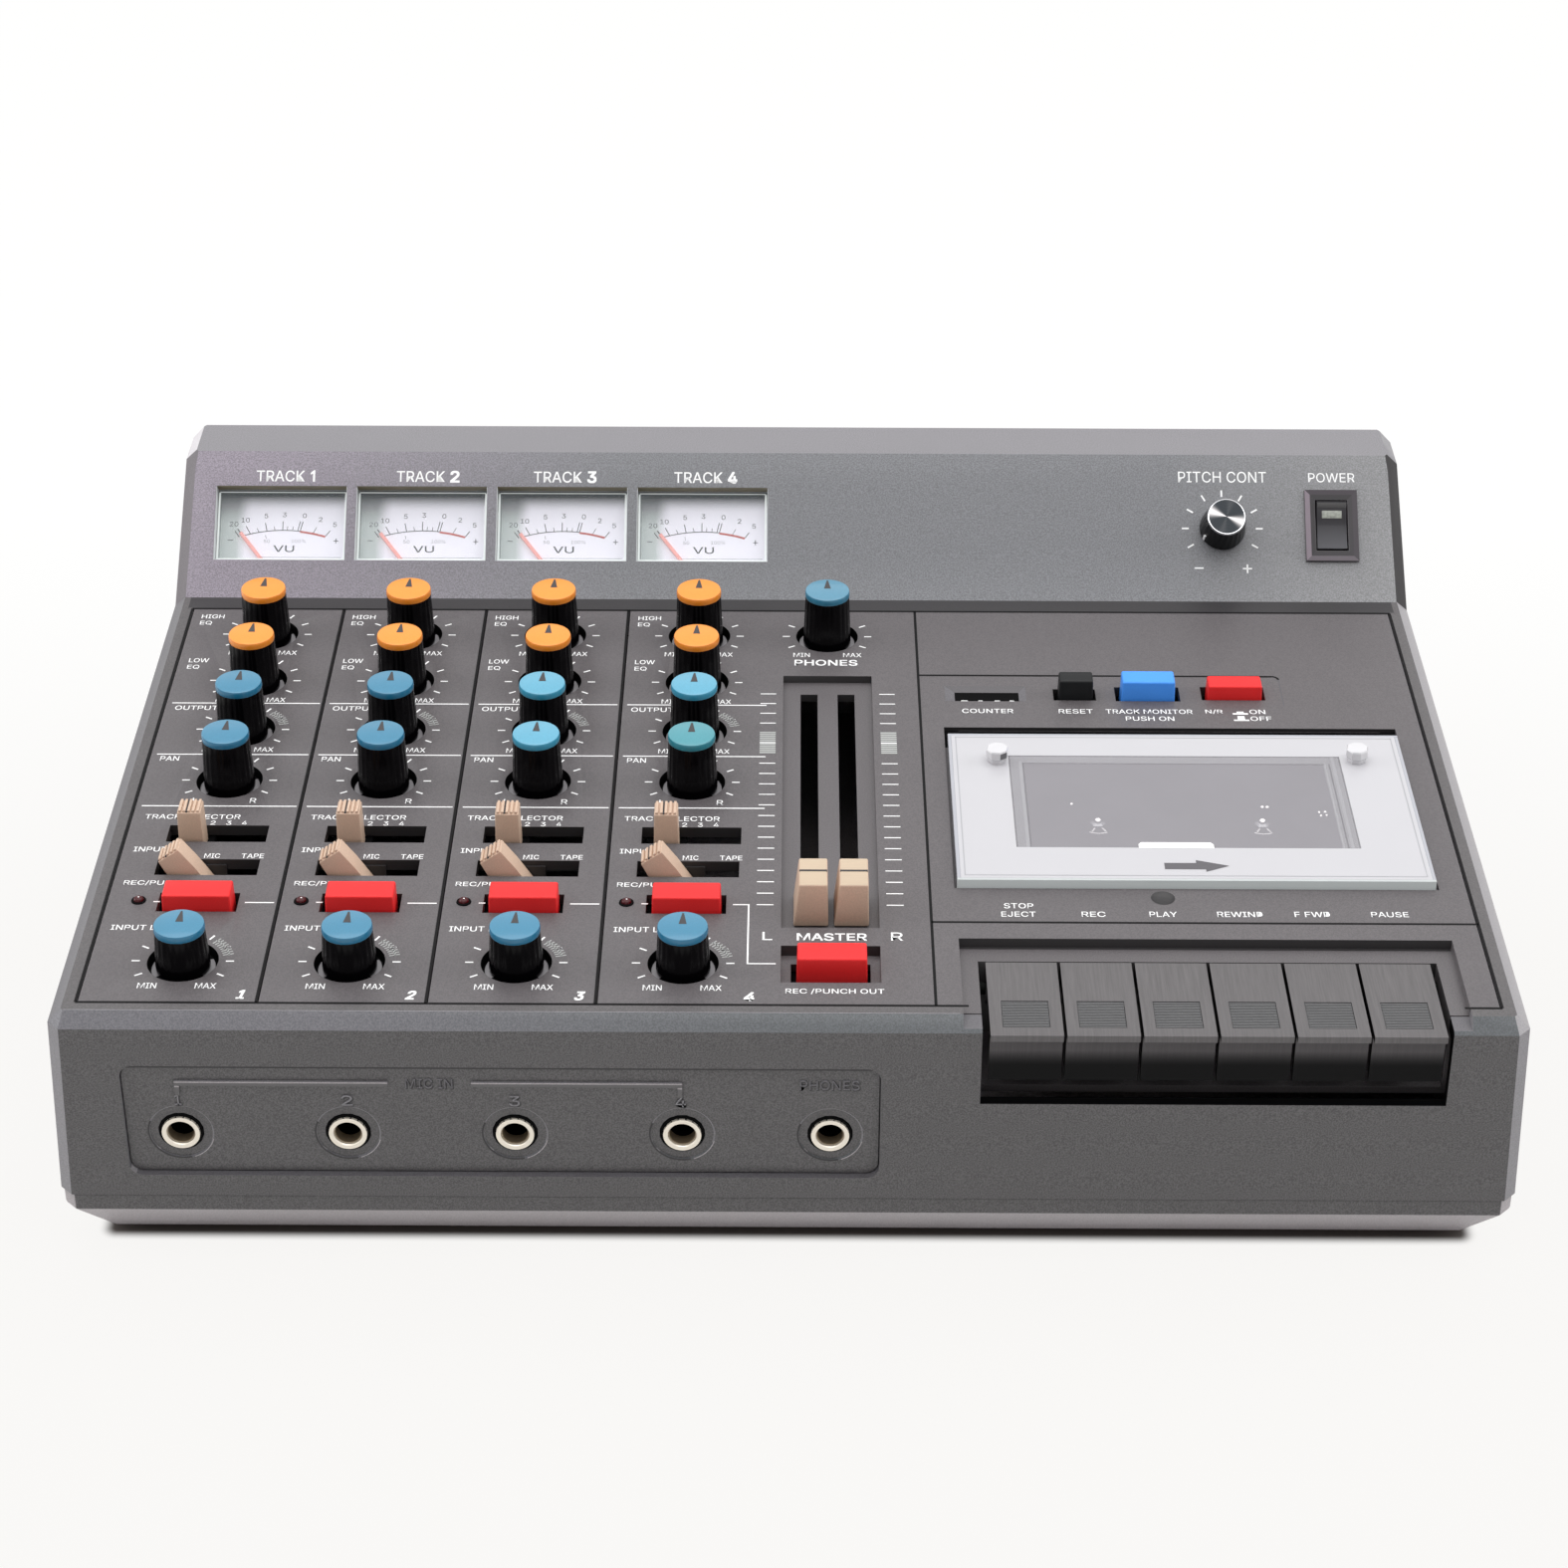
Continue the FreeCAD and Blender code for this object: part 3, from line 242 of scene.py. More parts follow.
def cap_plastic(name, seen, roughness, spread=0.04, speck=0.04, **shader):
    return plastic(name, seen, roughness, spread, speck, 0.006, **shader)


def brushed(name, seen, roughness, spread, stretch, depth):
    """Fine lines drawn along one axis."""
    finish = Finish(name)
    lines = finish.noise(1.0, 3.0, 0.7, stretch)
    tone = finish.mix(lines, dim(srgb(*seen), 1 - spread), dim(srgb(*seen), 1 + spread))
    finish.shade(Base_Color=tone, Roughness=roughness + lines * 0.12)
    finish.bump(lines, depth)
    return finish.material


def flat_ink(name, seen, **shader):
    """Screen print: even, with slightly starved patches."""
    finish = Finish(name, **shader)
    starved = finish.noise(0.8, 2.0)
    finish.shade(Base_Color=finish.mix(starved, dim(srgb(*seen), 0.86), dim(srgb(*seen), 1.04)),
                 Roughness=0.5 + starved * 0.1)
    return finish.material


case_paint = paint("case_paint", (128, 126, 130), 0.42, 0.15)
# Painted shade: darker copies of the case paint for the bridge's corner facets, the right one darker.
left_facet_paint = paint("left_facet_paint", (106, 101, 105), 0.45, 0.1)
right_facet_paint = paint("right_facet_paint", (48, 46, 47), 0.45, 0.1, Specular_Ior_Level=0.2)
# Painted light: lighter copies of the case paint for the bridge's left end and the case's right chamfer.
bridge_end_lit_paint = paint("bridge_end_paint", (206, 202, 206), 0.45, 0.06, spread=0.03)
side_edge_lit_paint = paint("side_edge_paint", (146, 143, 146), 0.42, 0.1)
flat_rim_paint = paint("flat_rim_paint", (87, 84, 85), 0.42, 0.18)
rim_paint = paint("rim_paint", (98, 96, 100), 0.38, 0.18)
# Painted shade: the case paint made darker for the faces that look forward.
front_shade_paint = paint("front_case_paint", (88, 86, 87), 0.42, 0.3, 0.04)
# Painted shade: a dark copy of the case paint for shadow strips and crescents on the case.
case_shade_paint = paint("shaded_case_paint", (46, 44, 46), 0.45, 0.1)
# Painted light: the lower case made lighter for the light the floor throws back; the same finish draws
# painted highlights on the socket dishes and raised bars.
lower_lit_paint = paint("lower_case_paint", (164, 158, 161), 0.42, 0.16)
relief_paint = paint("raised_mark_paint", (96, 94, 95), 0.4, 0.05, 0.02)
panel_paint = plastic("panel_plastic", (92, 88, 90), 0.42, 0.05, 0.16, 0.02)
# Dark panel plastic, used as painted shade on walls in sunk places, in slots, in the dimple and in a strip on
# the key bay's floor, and for a dark band on the rocker.
dark_and_shade_paint = plastic("panel_wall", (46, 44, 45), 0.5, 0.05, 0.05, 0.01)
recess_paint = plastic("counter_frame", (84, 81, 84), 0.4, 0.04, 0.08, 0.01)
# Painted light: the wells' floors glow a little.
well_glow_paint = plastic("well_floor", (128, 125, 128), 0.35, 0.05,
                     Emission_Color=srgb(120, 118, 120), Emission_Strength=0.15)
bezel_paint = plastic("rocker_bezel", (46, 42, 46), 0.3, 0.05, 0.05, 0.01)
rubber = plastic("foot_rubber", (20, 19, 20), 0.85, 0.1, 0.05, 0.02)

grip_black = plastic("knob_black", (6, 5, 7), 0.2, 0.1, Specular_Ior_Level=0.12)
cap_orange = cap_plastic("cap_orange", (246, 152, 58), 0.36, 0.03)
cap_teal, cap_cyan, cap_green, cap_plain = (
    cap_plastic(name, seen, 0.3, Coat_Weight=0.3) for name, seen in (
        ("cap_teal", (60, 130, 162)), ("cap_cyan", (94, 168, 196)),
        ("cap_green_teal", (74, 150, 162)), ("cap_grey_teal", (86, 142, 168))))
# Painted shade: darker copies of the caps' colours, for the caps' sides.
shaded_rims = {cap.name: cap_plastic(cap.name + "_rim", seen, 0.26, speck=0.03, Coat_Weight=0.3) for cap, seen in (
    (cap_orange, (238, 140, 40)), (cap_teal, (30, 112, 148)), (cap_cyan, (52, 146, 178)),
    (cap_green, (36, 128, 144)), (cap_plain, (48, 120, 150)))}
pointer_ink = flat_ink("pointer_print", (58, 56, 58))

tan = plastic("lever_tan", (206, 178, 156), 0.5, 0.03, 0.05, 0.015)
tan_top = brushed("fader_top", (198, 178, 154), 0.5, 0.06, (8.0, 0.5, 8.0), 0.03)
tan_mark = flat_ink("lever_mark", (48, 44, 46))
red = plastic("button_red", (240, 42, 44), 0.4, 0.04, 0.03, 0.01, 0.7, Specular_Ior_Level=0.3)
black = plastic("button_black", (12, 14, 16), 0.4, 0.08, 0.05, 0.02, Specular_Ior_Level=0.3)
blue = plastic("button_blue", (76, 156, 255), 0.4, 0.05, 0.03, 0.01, 0.7, Specular_Ior_Level=0.3)

white_ink = flat_ink("white_print", (252, 252, 252))
groove_ink = flat_ink("groove", (20, 19, 20), Specular_Ior_Level=0.1)
grey_ink = flat_ink("grey_print", (176, 178, 176))
dark_ink = flat_ink("dark_print", (92, 90, 94))
scale_ink = flat_ink("scale_print", (54, 56, 60))
faint_ink = flat_ink("faint_scale_print", (156, 154, 164))
numeral_ink = flat_ink("numeral_print", (96, 96, 102))
scale_red = flat_ink("scale_red_print", (190, 70, 64))

# Painted reflection: a glowing finish for the light marks round the spindles.
spindle_shine = plastic("spindle_shine", (196, 192, 190), 0.3, 0.05,
                        Emission_Color=(0.8, 0.78, 0.76), Emission_Strength=0.9)
needle_red = plastic("needle_red", (252, 168, 162), 0.4, 0.03)
# Black for dark parts, and as painted shade in the wells, on the key bay's walls and in the lid's recess.
shade_black = plastic("inner_black", (8, 8, 9), 0.7, 0.1, Specular_Ior_Level=0.05)
slot_black = plastic("slot_lining", (24, 27, 25), 0.6, 0.2, 0.2, Specular_Ior_Level=0.1)
nickel = plastic("socket_nickel", (238, 230, 216), 0.3, 0.05, 0.0, 0.004, 1.2, Metallic=0.7)
worn_brass = plastic("socket_bore", (150, 134, 112), 0.4, 0.2, Metallic=0.6)
steel = plastic("bright_steel", (225, 225, 228), 0.16, 0.05, 0.0, 0.003, 1.0, Metallic=1.0)
key_paint = brushed("key_plastic", (91, 88, 89), 0.4, 0.42, (0.5, 14.0, 14.0), 0.03)
# Painted shade: near black for the keys' sides and undersides.
key_side = plastic("key_side", (16, 15, 16), 0.45, 0.05, 0.04, 0.01, Specular_Ior_Level=0.15)
pad_paint = plastic("key_pad", (78, 78, 79), 0.5, 0.05, 0.06, 0.01)
pad_rib = plastic("key_pad_rib", (104, 104, 105), 0.5, 0.05, 0.06, 0.01)


def skirt_finish():
    """The keys' fronts carry painted shade that goes dark towards the bay's floor."""
    finish = Finish("key_skirt", Roughness=0.45, Specular_Ior_Level=0.1)
    height = ((finish.axes()[2] - 56.6) * (1 / 4.6)).limited()
    lines = finish.noise(1.0, 2.0, 0.6, (0.5, 14.0, 14.0))
    lit = finish.mix(lines, srgb(80, 77, 79), srgb(94, 91, 92))
    return finish.shade(Base_Color=finish.mix(height * height, srgb(8, 8, 9), lit)).material


def bridge_finish():
    """Painted light: the slanted face is painted lighter towards its two ends."""
    finish = Finish("bridge_face_paint")
    across = finish.axes()[0]
    left = ((across + 50.0) * (-1 / 110.0)).limited()
    right = ((across - 105.0) * (1 / 62.0)).limited()
    flecks = finish.flecks(0.36)
    shares = []
    for speck in (0.74, 1.27):
        middle = finish.mix(left, dim(srgb(109, 110, 114), speck), dim(srgb(134, 126, 137), speck))
        shares.append(finish.mix(right, middle, dim(srgb(127, 127, 129), speck)))
    finish.shade(Base_Color=finish.mix(flecks, *shares), Roughness=0.36 + flecks * 0.1)
    finish.bump(finish.noise(0.6, 3.0, 0.6), 0.02)
    return finish.material


def front_edge_finish():
    """Painted light: the chamfer over the sockets is painted lighter at its left end."""
    finish = Finish("front_edge_paint", Roughness=0.4)
    reach = ((finish.axes()[0] + 110.0) * (1 / 110.0)).limited()
    flecks = finish.flecks(0.36)
    shares = [finish.mix(reach, dim(srgb(105, 104, 109), speck), dim(srgb(89, 92, 95), speck))
              for speck in (0.8, 1.2)]
    finish.shade(Base_Color=finish.mix(flecks, *shares))
    finish.bump(finish.noise(0.6, 3.0, 0.6), 0.02)
    return finish.material


front_edge_paint = front_edge_finish()
key_skirt = skirt_finish()
slope_lit_paint = bridge_finish()


# ---------------------------------------------------------------- shapes

def soften(shape, width, steps=2):
    if width:
        bmesh.ops.bevel(shape, geom=list(shape.edges), offset=width, offset_type="OFFSET", segments=steps,
                        profile=0.5, affect="EDGES", material=-1, clamp_overlap=True)
    return shape


def tapered(x, y, low, high, z0, z1, soft=0.0, steps=2, shift=0.0):
    """A block whose base and top have sizes of their own."""
    shape = bmesh.new()
    bmesh.ops.create_cube(shape, size=1.0)
    for v in shape.verts:
        top = v.co.z > 0
        width, depth = high if top else low
        v.co = Vector((x + v.co.x * width + (shift if top else 0), y + v.co.y * depth, z1 if top else z0))
    return soften(shape, soft, steps)


def block(x0, x1, y0, y1, z0, z1, soft=0.0, steps=2):
    size = (x1 - x0, y1 - y0)
    return tapered((x0 + x1) / 2, (y0 + y1) / 2, size, size, z0, z1, soft, steps)


def centred(x, y, width, depth, z0, z1, soft=0.0):
    return tapered(x, y, (width, depth), (width, depth), z0, z1, soft)


def turned(profile, steps=48):
    """Spins a line of (radius, height) points round Z and closes its poles."""
    shape = bmesh.new()
    points = [shape.verts.new((r, 0, z)) for r, z in profile]
    lines = [shape.edges.new(pair) for pair in zip(points, points[1:])]
    bmesh.ops.spin(shape, geom=points + lines, cent=(0, 0, 0), axis=(0, 0, 1), angle=2 * math.pi,
                   steps=steps, use_merge=True, use_duplicate=False)
    bmesh.ops.remove_doubles(shape, verts=shape.verts, dist=1e-4)
    return shape


def thick(shape, height):
    """Gives a flat shape a thickness."""
    grown = bmesh.ops.extrude_face_region(shape, geom=list(shape.faces))["geom"]
    lifted = [v for v in grown if isinstance(v, bmesh.types.BMVert)]
    bmesh.ops.translate(shape, vec=(0, 0, height), verts=lifted)
    return shape


def outline(points, z0, z1, soft=0.0):
    shape = bmesh.new()
    shape.faces.new([shape.verts.new((x, y, z0)) for x, y in points])
    return soften(thick(shape, z1 - z0), soft)


def patch(points, z=INK):
    """A flat printed shape."""
    shape = bmesh.new()
    face = shape.faces.new([shape.verts.new((x, y, z)) for x, y in points])
    if face.normal.z < 0:
        face.normal_flip()
    return shape


def strip(x0, x1, y0, y1, z=INK):
    return patch([(x0, y0), (x1, y0), (x1, y1), (x0, y1)], z)


def tick(x, y, angle, near, far, width, z=INK):
    """A short line that points at (x, y); the angle is clockwise from the rear."""
    a = math.radians(angle)
    out = Vector((math.sin(a), math.cos(a)))
    side = Vector((out.y, -out.x)) * (width / 2)
    centre = Vector((x, y))
    corners = (centre + out * near - side, centre + out * near + side,
               centre + out * far + side, centre + out * far - side)
    return patch([(c.x, c.y) for c in corners], z)


def arc(x, y, near, far, start, end, steps=24, z=INK):
    """A band round (x, y) between two angles, clockwise from the rear."""
    shape = bmesh.new()
    a = math.radians(start)
    ends = [shape.verts.new((x + r * math.sin(a), y + r * math.cos(a), z)) for r in (near, far)]
    edge = shape.edges.new(ends)
    bmesh.ops.spin(shape, geom=ends + [edge], cent=(x, y, z), axis=(0, 0, -1),
                   angle=math.radians(end - start), steps=steps, use_duplicate=False)
    return shape


FONT = bpy.data.fonts.load(os.path.join(bpy.utils.system_resource("DATAFILES", path="fonts"), "Inter.woff2"))
lettering = {}


def letters(text, lean):
    """A word's flat mesh at unit size, kept for the next time."""
    key = (text, lean)
    if key not in lettering:
        curve = bpy.data.curves.new("word", "FONT")
        curve.body = text
        curve.font = FONT
        curve.size = 1.0
        curve.shear = lean
        curve.resolution_u = 2
        holder = bpy.data.objects.new("word", curve)
        bpy.context.scene.collection.objects.link(holder)
        graph = bpy.context.evaluated_depsgraph_get()
        lettering[key] = bpy.data.meshes.new_from_object(holder.evaluated_get(graph))
        bpy.data.objects.remove(holder)
        bpy.data.curves.remove(curve)
    return lettering[key]


def word(text, x, y, cap, width=None, stretch=1.15, weight=0.018, lean=0.0, side="left", z=INK):
    """Lettering with its foot at y, its capitals cap tall, and its width given or natural.

    A weight thickens the strokes by that much all round: the word is laid down
    four more times, moved to the corners of a square.
    """
    flat = letters(text, lean)
    xs = [v.co.x for v in flat.vertices]
    ys = [v.co.y for v in flat.vertices]
    natural = max(xs) - min(xs)
    tall = cap / (max(ys) - min(ys))
    wide = width / natural if width else tall * stretch
    shift = natural / 2 if side == "centre" else 0.0
    shape = bmesh.new()
    corners = [(0, 0), (1, 1), (-1, 1), (1, -1), (-1, -1)] if weight else [(0, 0)]
    for layer, (right, up) in enumerate(corners):
        start = len(shape.verts)
        shape.from_mesh(flat)
        for v in list(shape.verts)[start:]:
            v.co = Vector((x + (v.co.x - min(xs) - shift) * wide + right * weight,
                           y + (v.co.y - min(ys)) * tall + up * weight, z + 0.002 * layer))
    return shape


def pour(shape, into):
    """Moves a drawn shape into another one."""
    store = bpy.data.meshes.new("store")
    shape.to_mesh(store)
    shape.free()
    into.from_mesh(store)
    bpy.data.meshes.remove(store)


def show(name, shape, finishes=()):
    """Makes an object of a drawn shape."""
    data = bpy.data.meshes.new(name)
    shape.to_mesh(data)
    shape.free()
    for finish in finishes:
        data.materials.append(finish)
    made = bpy.data.objects.new(name, data)
    bpy.context.scene.collection.objects.link(made)
    return made


class Draft:
    """One piece while it is drawn, in millimetres."""

    def __init__(self):
        self.mesh = bmesh.new()
        self.finishes = []

    def index(self, finish):
        if finish not in self.finishes:
            self.finishes.append(finish)
        return self.finishes.index(finish)

    def lay(self, shape, finish):
        index = self.index(finish)
        for face in shape.faces:
            face.material_index = index
        pour(shape, self.mesh)

    def add(self, shape, finish, place=None, smooth=True):
        if any(len(e.link_faces) == 2 for e in shape.edges):
            bmesh.ops.recalc_face_normals(shape, faces=shape.faces)
        for face in shape.faces:
            face.smooth = smooth
        if place is not None:
            bmesh.ops.transform(shape, matrix=place, verts=shape.verts)
        self.lay(shape, finish)

    def mark(self, shape, finish):
        """Adds flat print, its faces turned outwards."""
        for face in shape.faces:
            face.normal_update()
            if face.normal.z < 0:
                face.normal_flip()
        self.lay(shape, finish)

    def line(self, x0, x1, y0, y1, finish, z=INK):
        self.mark(strip(x0, x1, y0, y1, z), finish)

    def write(self, text, x, y, cap, width=None, finish=white_ink, **how):
        self.mark(word(text, x, y, cap, width, **how), finish)

    def repaint(self, finish, chosen):
        """Gives the faces that chosen(normal, middle) picks another finish."""
        index = self.index(finish)
        for face in self.mesh.faces:
            face.normal_update()
            if chosen(face.normal, face.calc_center_median()):
                face.material_index = index

    def piece(self, name, body, slot, frame_matrix=PANEL, stands_for=None, crease=40):
        bmesh.ops.transform(self.mesh, matrix=frame_matrix, verts=self.mesh.verts)
        made = show(name, self.mesh, self.finishes)
        made.data.set_sharp_from_angle(angle=math.radians(crease))
        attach(made, body)
        if stands_for:
            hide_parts(stands_for)
        return made


def joined(shape, reach):
    bmesh.ops.remove_doubles(shape, verts=shape.verts, dist=reach)
    bmesh.ops.dissolve_limit(shape, angle_limit=math.radians(0.5), verts=shape.verts, edges=shape.edges)
    return shape


def cad_copy(node):
    """The node's mesh with its loose triangles joined, in panel millimetres."""
    shape = bmesh.new()
    shape.from_mesh(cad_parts[node].data)
    bmesh.ops.transform(shape, matrix=PANEL.inverted(), verts=shape.verts)
    return joined(shape, 0.002)


def carve(shape, cutters):
    """Takes closed cutters out of a closed shape."""
    tool = bmesh.new()
    for cutter in cutters:
        bmesh.ops.recalc_face_normals(cutter, faces=cutter.faces)
        pour(cutter, tool)
    work = show("work", shape)
    knife = show("knife", tool)
    cut = work.modifiers.new("cut", "BOOLEAN")
    cut.operation = "DIFFERENCE"
    cut.solver = "EXACT"
    cut.use_self = False
    cut.object = knife
    graph = bpy.context.evaluated_depsgraph_get()
    data = bpy.data.meshes.new_from_object(work.evaluated_get(graph))
    result = bmesh.new()
    result.from_mesh(data)
    for made in (work, knife):
        bpy.data.objects.remove(made)
    bpy.data.meshes.remove(data)
    return joined(result, 0.001)


def eased(made, width):
    """Rounds the piece's edges a little and keeps its flats flat."""
    bevel = made.modifiers.new("edges", "BEVEL")
    bevel.width = width * MM
    bevel.segments = 2
    bevel.limit_method = "ANGLE"
    bevel.angle_limit = math.radians(28)
    bevel.harden_normals = True
    bevel.use_clamp_overlap = True


# ---------------------------------------------------------------- case

SOCKET_FACE = -6.2      # y of the front socket panel
SOCKET_HEIGHT = -33.8
ROCKER = (153.5, 22.575)
BAY_HALF = 58.4         # half the key bay's width
PANEL_RIGHT = 168.2
PANEL_REAR = 187.6
DECK_GROOVE = 34.8


def on_face(point):
    """A panel point in the slanted face's own frame."""
    return FACE.inverted() @ (PANEL @ point)


def sockets():
    return [channel(i) for i in range(CHANNELS)] + [MASTER]


def forward(x, z):
    """Carries what is drawn flat to the front socket panel, facing forward."""
    return at(x, SOCKET_FACE, z) @ turn(90, "X")


def is_front(n, m):
    return n.y < -0.9 and m.y < 10


def is_rim(n, m):
    return m.y < 192 and n.z > 0.25 and m.z < 3


def is_slope(n, m):
    spot = on_face(m)
    return abs(spot.z) < 0.2 and 0 < spot.y < 44 and n.z > 0.5


def is_bezel(n, m):
    spot = on_face(m)
    return abs(spot.x - ROCKER[0]) < 7.8 and abs(spot.y - 22.6) < 11 and 0.1 < spot.z < 1.2


def is_bay(n, m):
    return m.y < 1 and -24 < m.z < -2.6 and 45 < m.x < 157 and abs(n.y) < 0.5


def is_facet(side):
    return lambda n, m: n.x * side > 0.5 and n.y < -0.3 and m.y > 190 and m.z > -5


def case_pieces():
    dishes = []
    for x in sockets():
        dish = turned([(0, -0.4), (7.5, -0.4), (7.95, 0.02), (7.95, 0.6), (0, 0.6)], 72)
        bmesh.ops.transform(dish, matrix=forward(x, SOCKET_HEIGHT), verts=dish.verts)
        dishes.append(dish)
    shell = Draft()
    shell.add(carve(cad_copy("upper_case"), dishes), case_paint)
    # Painted light and shade by the way faces look: darker forward faces and bridge facets, a lighter bridge
    # end and right chamfer, a slanted face lighter towards both ends, a front chamfer lighter at its left
    # end, and black walls in the key bay.
    for finish, chosen in (
            (front_shade_paint, is_front),
            (rim_paint, is_rim),
            (flat_rim_paint, lambda n, m: is_rim(n, m) and n.z > 0.95 and m.z > -0.5),
            (front_edge_paint, lambda n, m: is_rim(n, m) and n.y < -0.4),
            (slope_lit_paint, is_slope),
            (bridge_end_lit_paint, lambda n, m: n.x < -0.5 and n.z > 0.4 and m.y > 200),
            (side_edge_lit_paint, lambda n, m: n.x > 0.5 and n.z > 0.4 and m.y < 192),
            (shade_black, is_bay),
            (left_facet_paint, is_facet(-1)),
            (right_facet_paint, is_facet(1)),
            (bezel_paint, is_bezel)):
        shell.repaint(finish, chosen)
    eased(shell.piece("upper_case_shell", "housing", "case_paint", stands_for="upper_case"), 0.35)
    lower = Draft()
    # The lower case in painted light, its front in painted shade.
    lower.add(cad_copy("bottom_case"), lower_lit_paint)
    lower.repaint(front_shade_paint, is_front)
    eased(lower.piece("bottom_case_shell", "housing", "case_paint", stands_for="bottom_case"), 0.4)


def grooves():
    """Dark lines where the panel's plates meet, a strip of painted shade at the bridge's foot and a painted
    highlight line at the front rim.
    """
    low = INK / 2
    lines = Draft()
    for x in [strip_left(i) - 0.3 for i in range(1, CHANNELS)] + [DECK_GROOVE]:
        lines.line(x - 0.36, x + 0.36, 0.0, PANEL_REAR, groove_ink, low)
    lines.line(DECK_GROOVE, PANEL_RIGHT, 34.2, 35.0, groove_ink, low)
    for x in (-PANEL_RIGHT, PANEL_RIGHT):
        lines.line(x - 0.35, x + 0.35, 0.0, PANEL_REAR, groove_ink, low)
    lines.line(-PANEL_RIGHT, PANEL_RIGHT, PANEL_REAR - 0.5, PANEL_REAR + 0.4, groove_ink, low)
    for x0, x1 in ((-PANEL_RIGHT, DECK - BAY_HALF), (DECK + BAY_HALF, PANEL_RIGHT)):
        lines.line(x0, x1, -0.45, 0.35, groove_ink, low)
    # Painted shade at the bridge's foot, and a painted highlight where the front rim meets its chamfer.
    lines.line(-169.5, 169.5, PANEL_REAR + 0.4, BRIDGE_FOOT - 0.1, case_shade_paint, low)
    lines.line(-170.5, DECK - BAY_HALF - 2.0, -3.25, -2.95, case_paint, low)
    lines.piece("panel_grooves", "housing", "panel_plastic")


# ---------------------------------------------------------------- panel

WELL_RADIUS = 8.55
WELL_DEPTH = 2.0
MOAT = 0.9              # ring round the well's floor, cut to the plate's underside
DIMPLE = (92.2, 45.4)
LID_LEFT = DECK - 59.3
LID_RIGHT = DECK + 59.3
LID_FRONT = 49.9
LID_REAR = 118.8
LID_TOP = 2.2
COUNTER = (41.8, 63.6)  # left and right edge of the counter's frame


def wells():
    return [(channel(i), y) for i in range(CHANNELS) for y in ROWS.values()] + [(MASTER, ROWS["high_eq"])]


def near(m, x, y, radius):
    return math.hypot(m.x - x, m.y - y) < radius


def is_inner(n, m):
    """Walls that face forward in a sunk place, and all that lies deep in a slot."""
    slots = m.x < -4 and 52 < m.y < 80 and m.z < -0.3
    return (n.y < -0.7 and m.z < -0.2 and m.y > 1) or slots


def in_well(n, m):
    return m.z < -0.05 and any(near(m, x, y, 8.8) for x, y in wells())


def panel_pieces():
    inner = WELL_RADIUS - MOAT
    floor = -WELL_DEPTH - 0.01
    hole = [(0, floor), (inner, floor), (inner, -2.8), (WELL_RADIUS, -2.8), (WELL_RADIUS, 1), (0, 1)]
    dimple = [(0, -0.75), (1.6, -0.65), (2.6, -0.35), (3.0, 0.02), (3.0, 1), (0, 1)]
    cutters = []
    for place, profile, steps in [(place, hole, 64) for place in wells()] + [(DIMPLE, dimple, 48)]:
        cutter = turned(profile, steps)
        bmesh.ops.translate(cutter, vec=(*place, 0), verts=cutter.verts)
        cutters.append(cutter)
    cutters.append(block(*COUNTER, 139.0, 141.0, -1.0, 1.0))
    plates = Draft()
    plates.add(carve(cad_copy("control_panel"), cutters), panel_paint)
    # Painted shade: dark walls in sunk places, slots and the dimple, black moats and dark crescents on the
    # wells' floors, black in the lid's recess and a dark strip on the key bay's floor. Painted light: the
    # wells' floors glow a little.
    plates.repaint(dark_and_shade_paint, is_inner)
    plates.repaint(dark_and_shade_paint, lambda n, m: near(m, *DIMPLE, 3.3) and m.z < -0.05)
    plates.repaint(well_glow_paint, in_well)
    plates.repaint(shade_black, lambda n, m: in_well(n, m) and abs(m.z + WELL_DEPTH) > 0.1)
    for x, y in wells():
        plates.mark(arc(x, y, 5.8, 7.7, 122, 238, 24, 0.02 - WELL_DEPTH), shade_black)
        plates.mark(arc(x, y, 5.8, 7.7, -60, 60, 12, 0.02 - WELL_DEPTH), shade_black)
    plates.line(LID_LEFT - 1.8, LID_RIGHT + 1.8, 117.0, 125.3, shade_black, -1.06)
    plates.line(41.4, 160.4, 26.7, 27.68, dark_and_shade_paint, -2.48)
    eased(plates.piece("control_panel_plates", "housing", "panel_plastic", stands_for="control_panel"), 0.18)


def counter_frame():
    """Four slopes lead down to the counter's slot, with the drums' figures in it."""
    x0, x1 = COUNTER
    y0, y1 = 139.02, 146.9
    a0, a1, b0, b1 = 44.4, 61.7, 139.1, 144.3
    low = -0.55
    piece = Draft()
    for points, finish in (
            ([(x0, y0, 0), (x1, y0, 0), (a1, b0, low), (a0, b0, low)], recess_paint),
            ([(x1, y1, 0), (x0, y1, 0), (a0, b1, low), (a1, b1, low)], recess_paint),
            ([(x0, y1, 0), (x0, y0, 0), (a0, b0, low), (a0, b1, low)], rim_paint),
            ([(x1, y0, 0), (x1, y1, 0), (a1, b1, low), (a1, b0, low)], rim_paint)):
        shape = bmesh.new()
        shape.faces.new([shape.verts.new(p) for p in points])
        piece.mark(shape, finish)
    piece.line(x0 - 0.1, x1 + 0.1, y1, 147.6, panel_paint, -0.01)
    piece.line(a0, a1, b0, b1, shade_black, low)
    for x, wide in ((45.7, 2.5), (50.5, 1.6), (54.8, 2.0), (58.9, 1.7)):
        figure = [(x, 139.6), (x + wide, 139.6), (x + wide * 0.8, 140.2), (x + wide * 0.2, 140.25)]
        piece.mark(patch(figure, low + INK), white_ink)
    piece.piece("counter_frame", "housing", "deck_plastic")


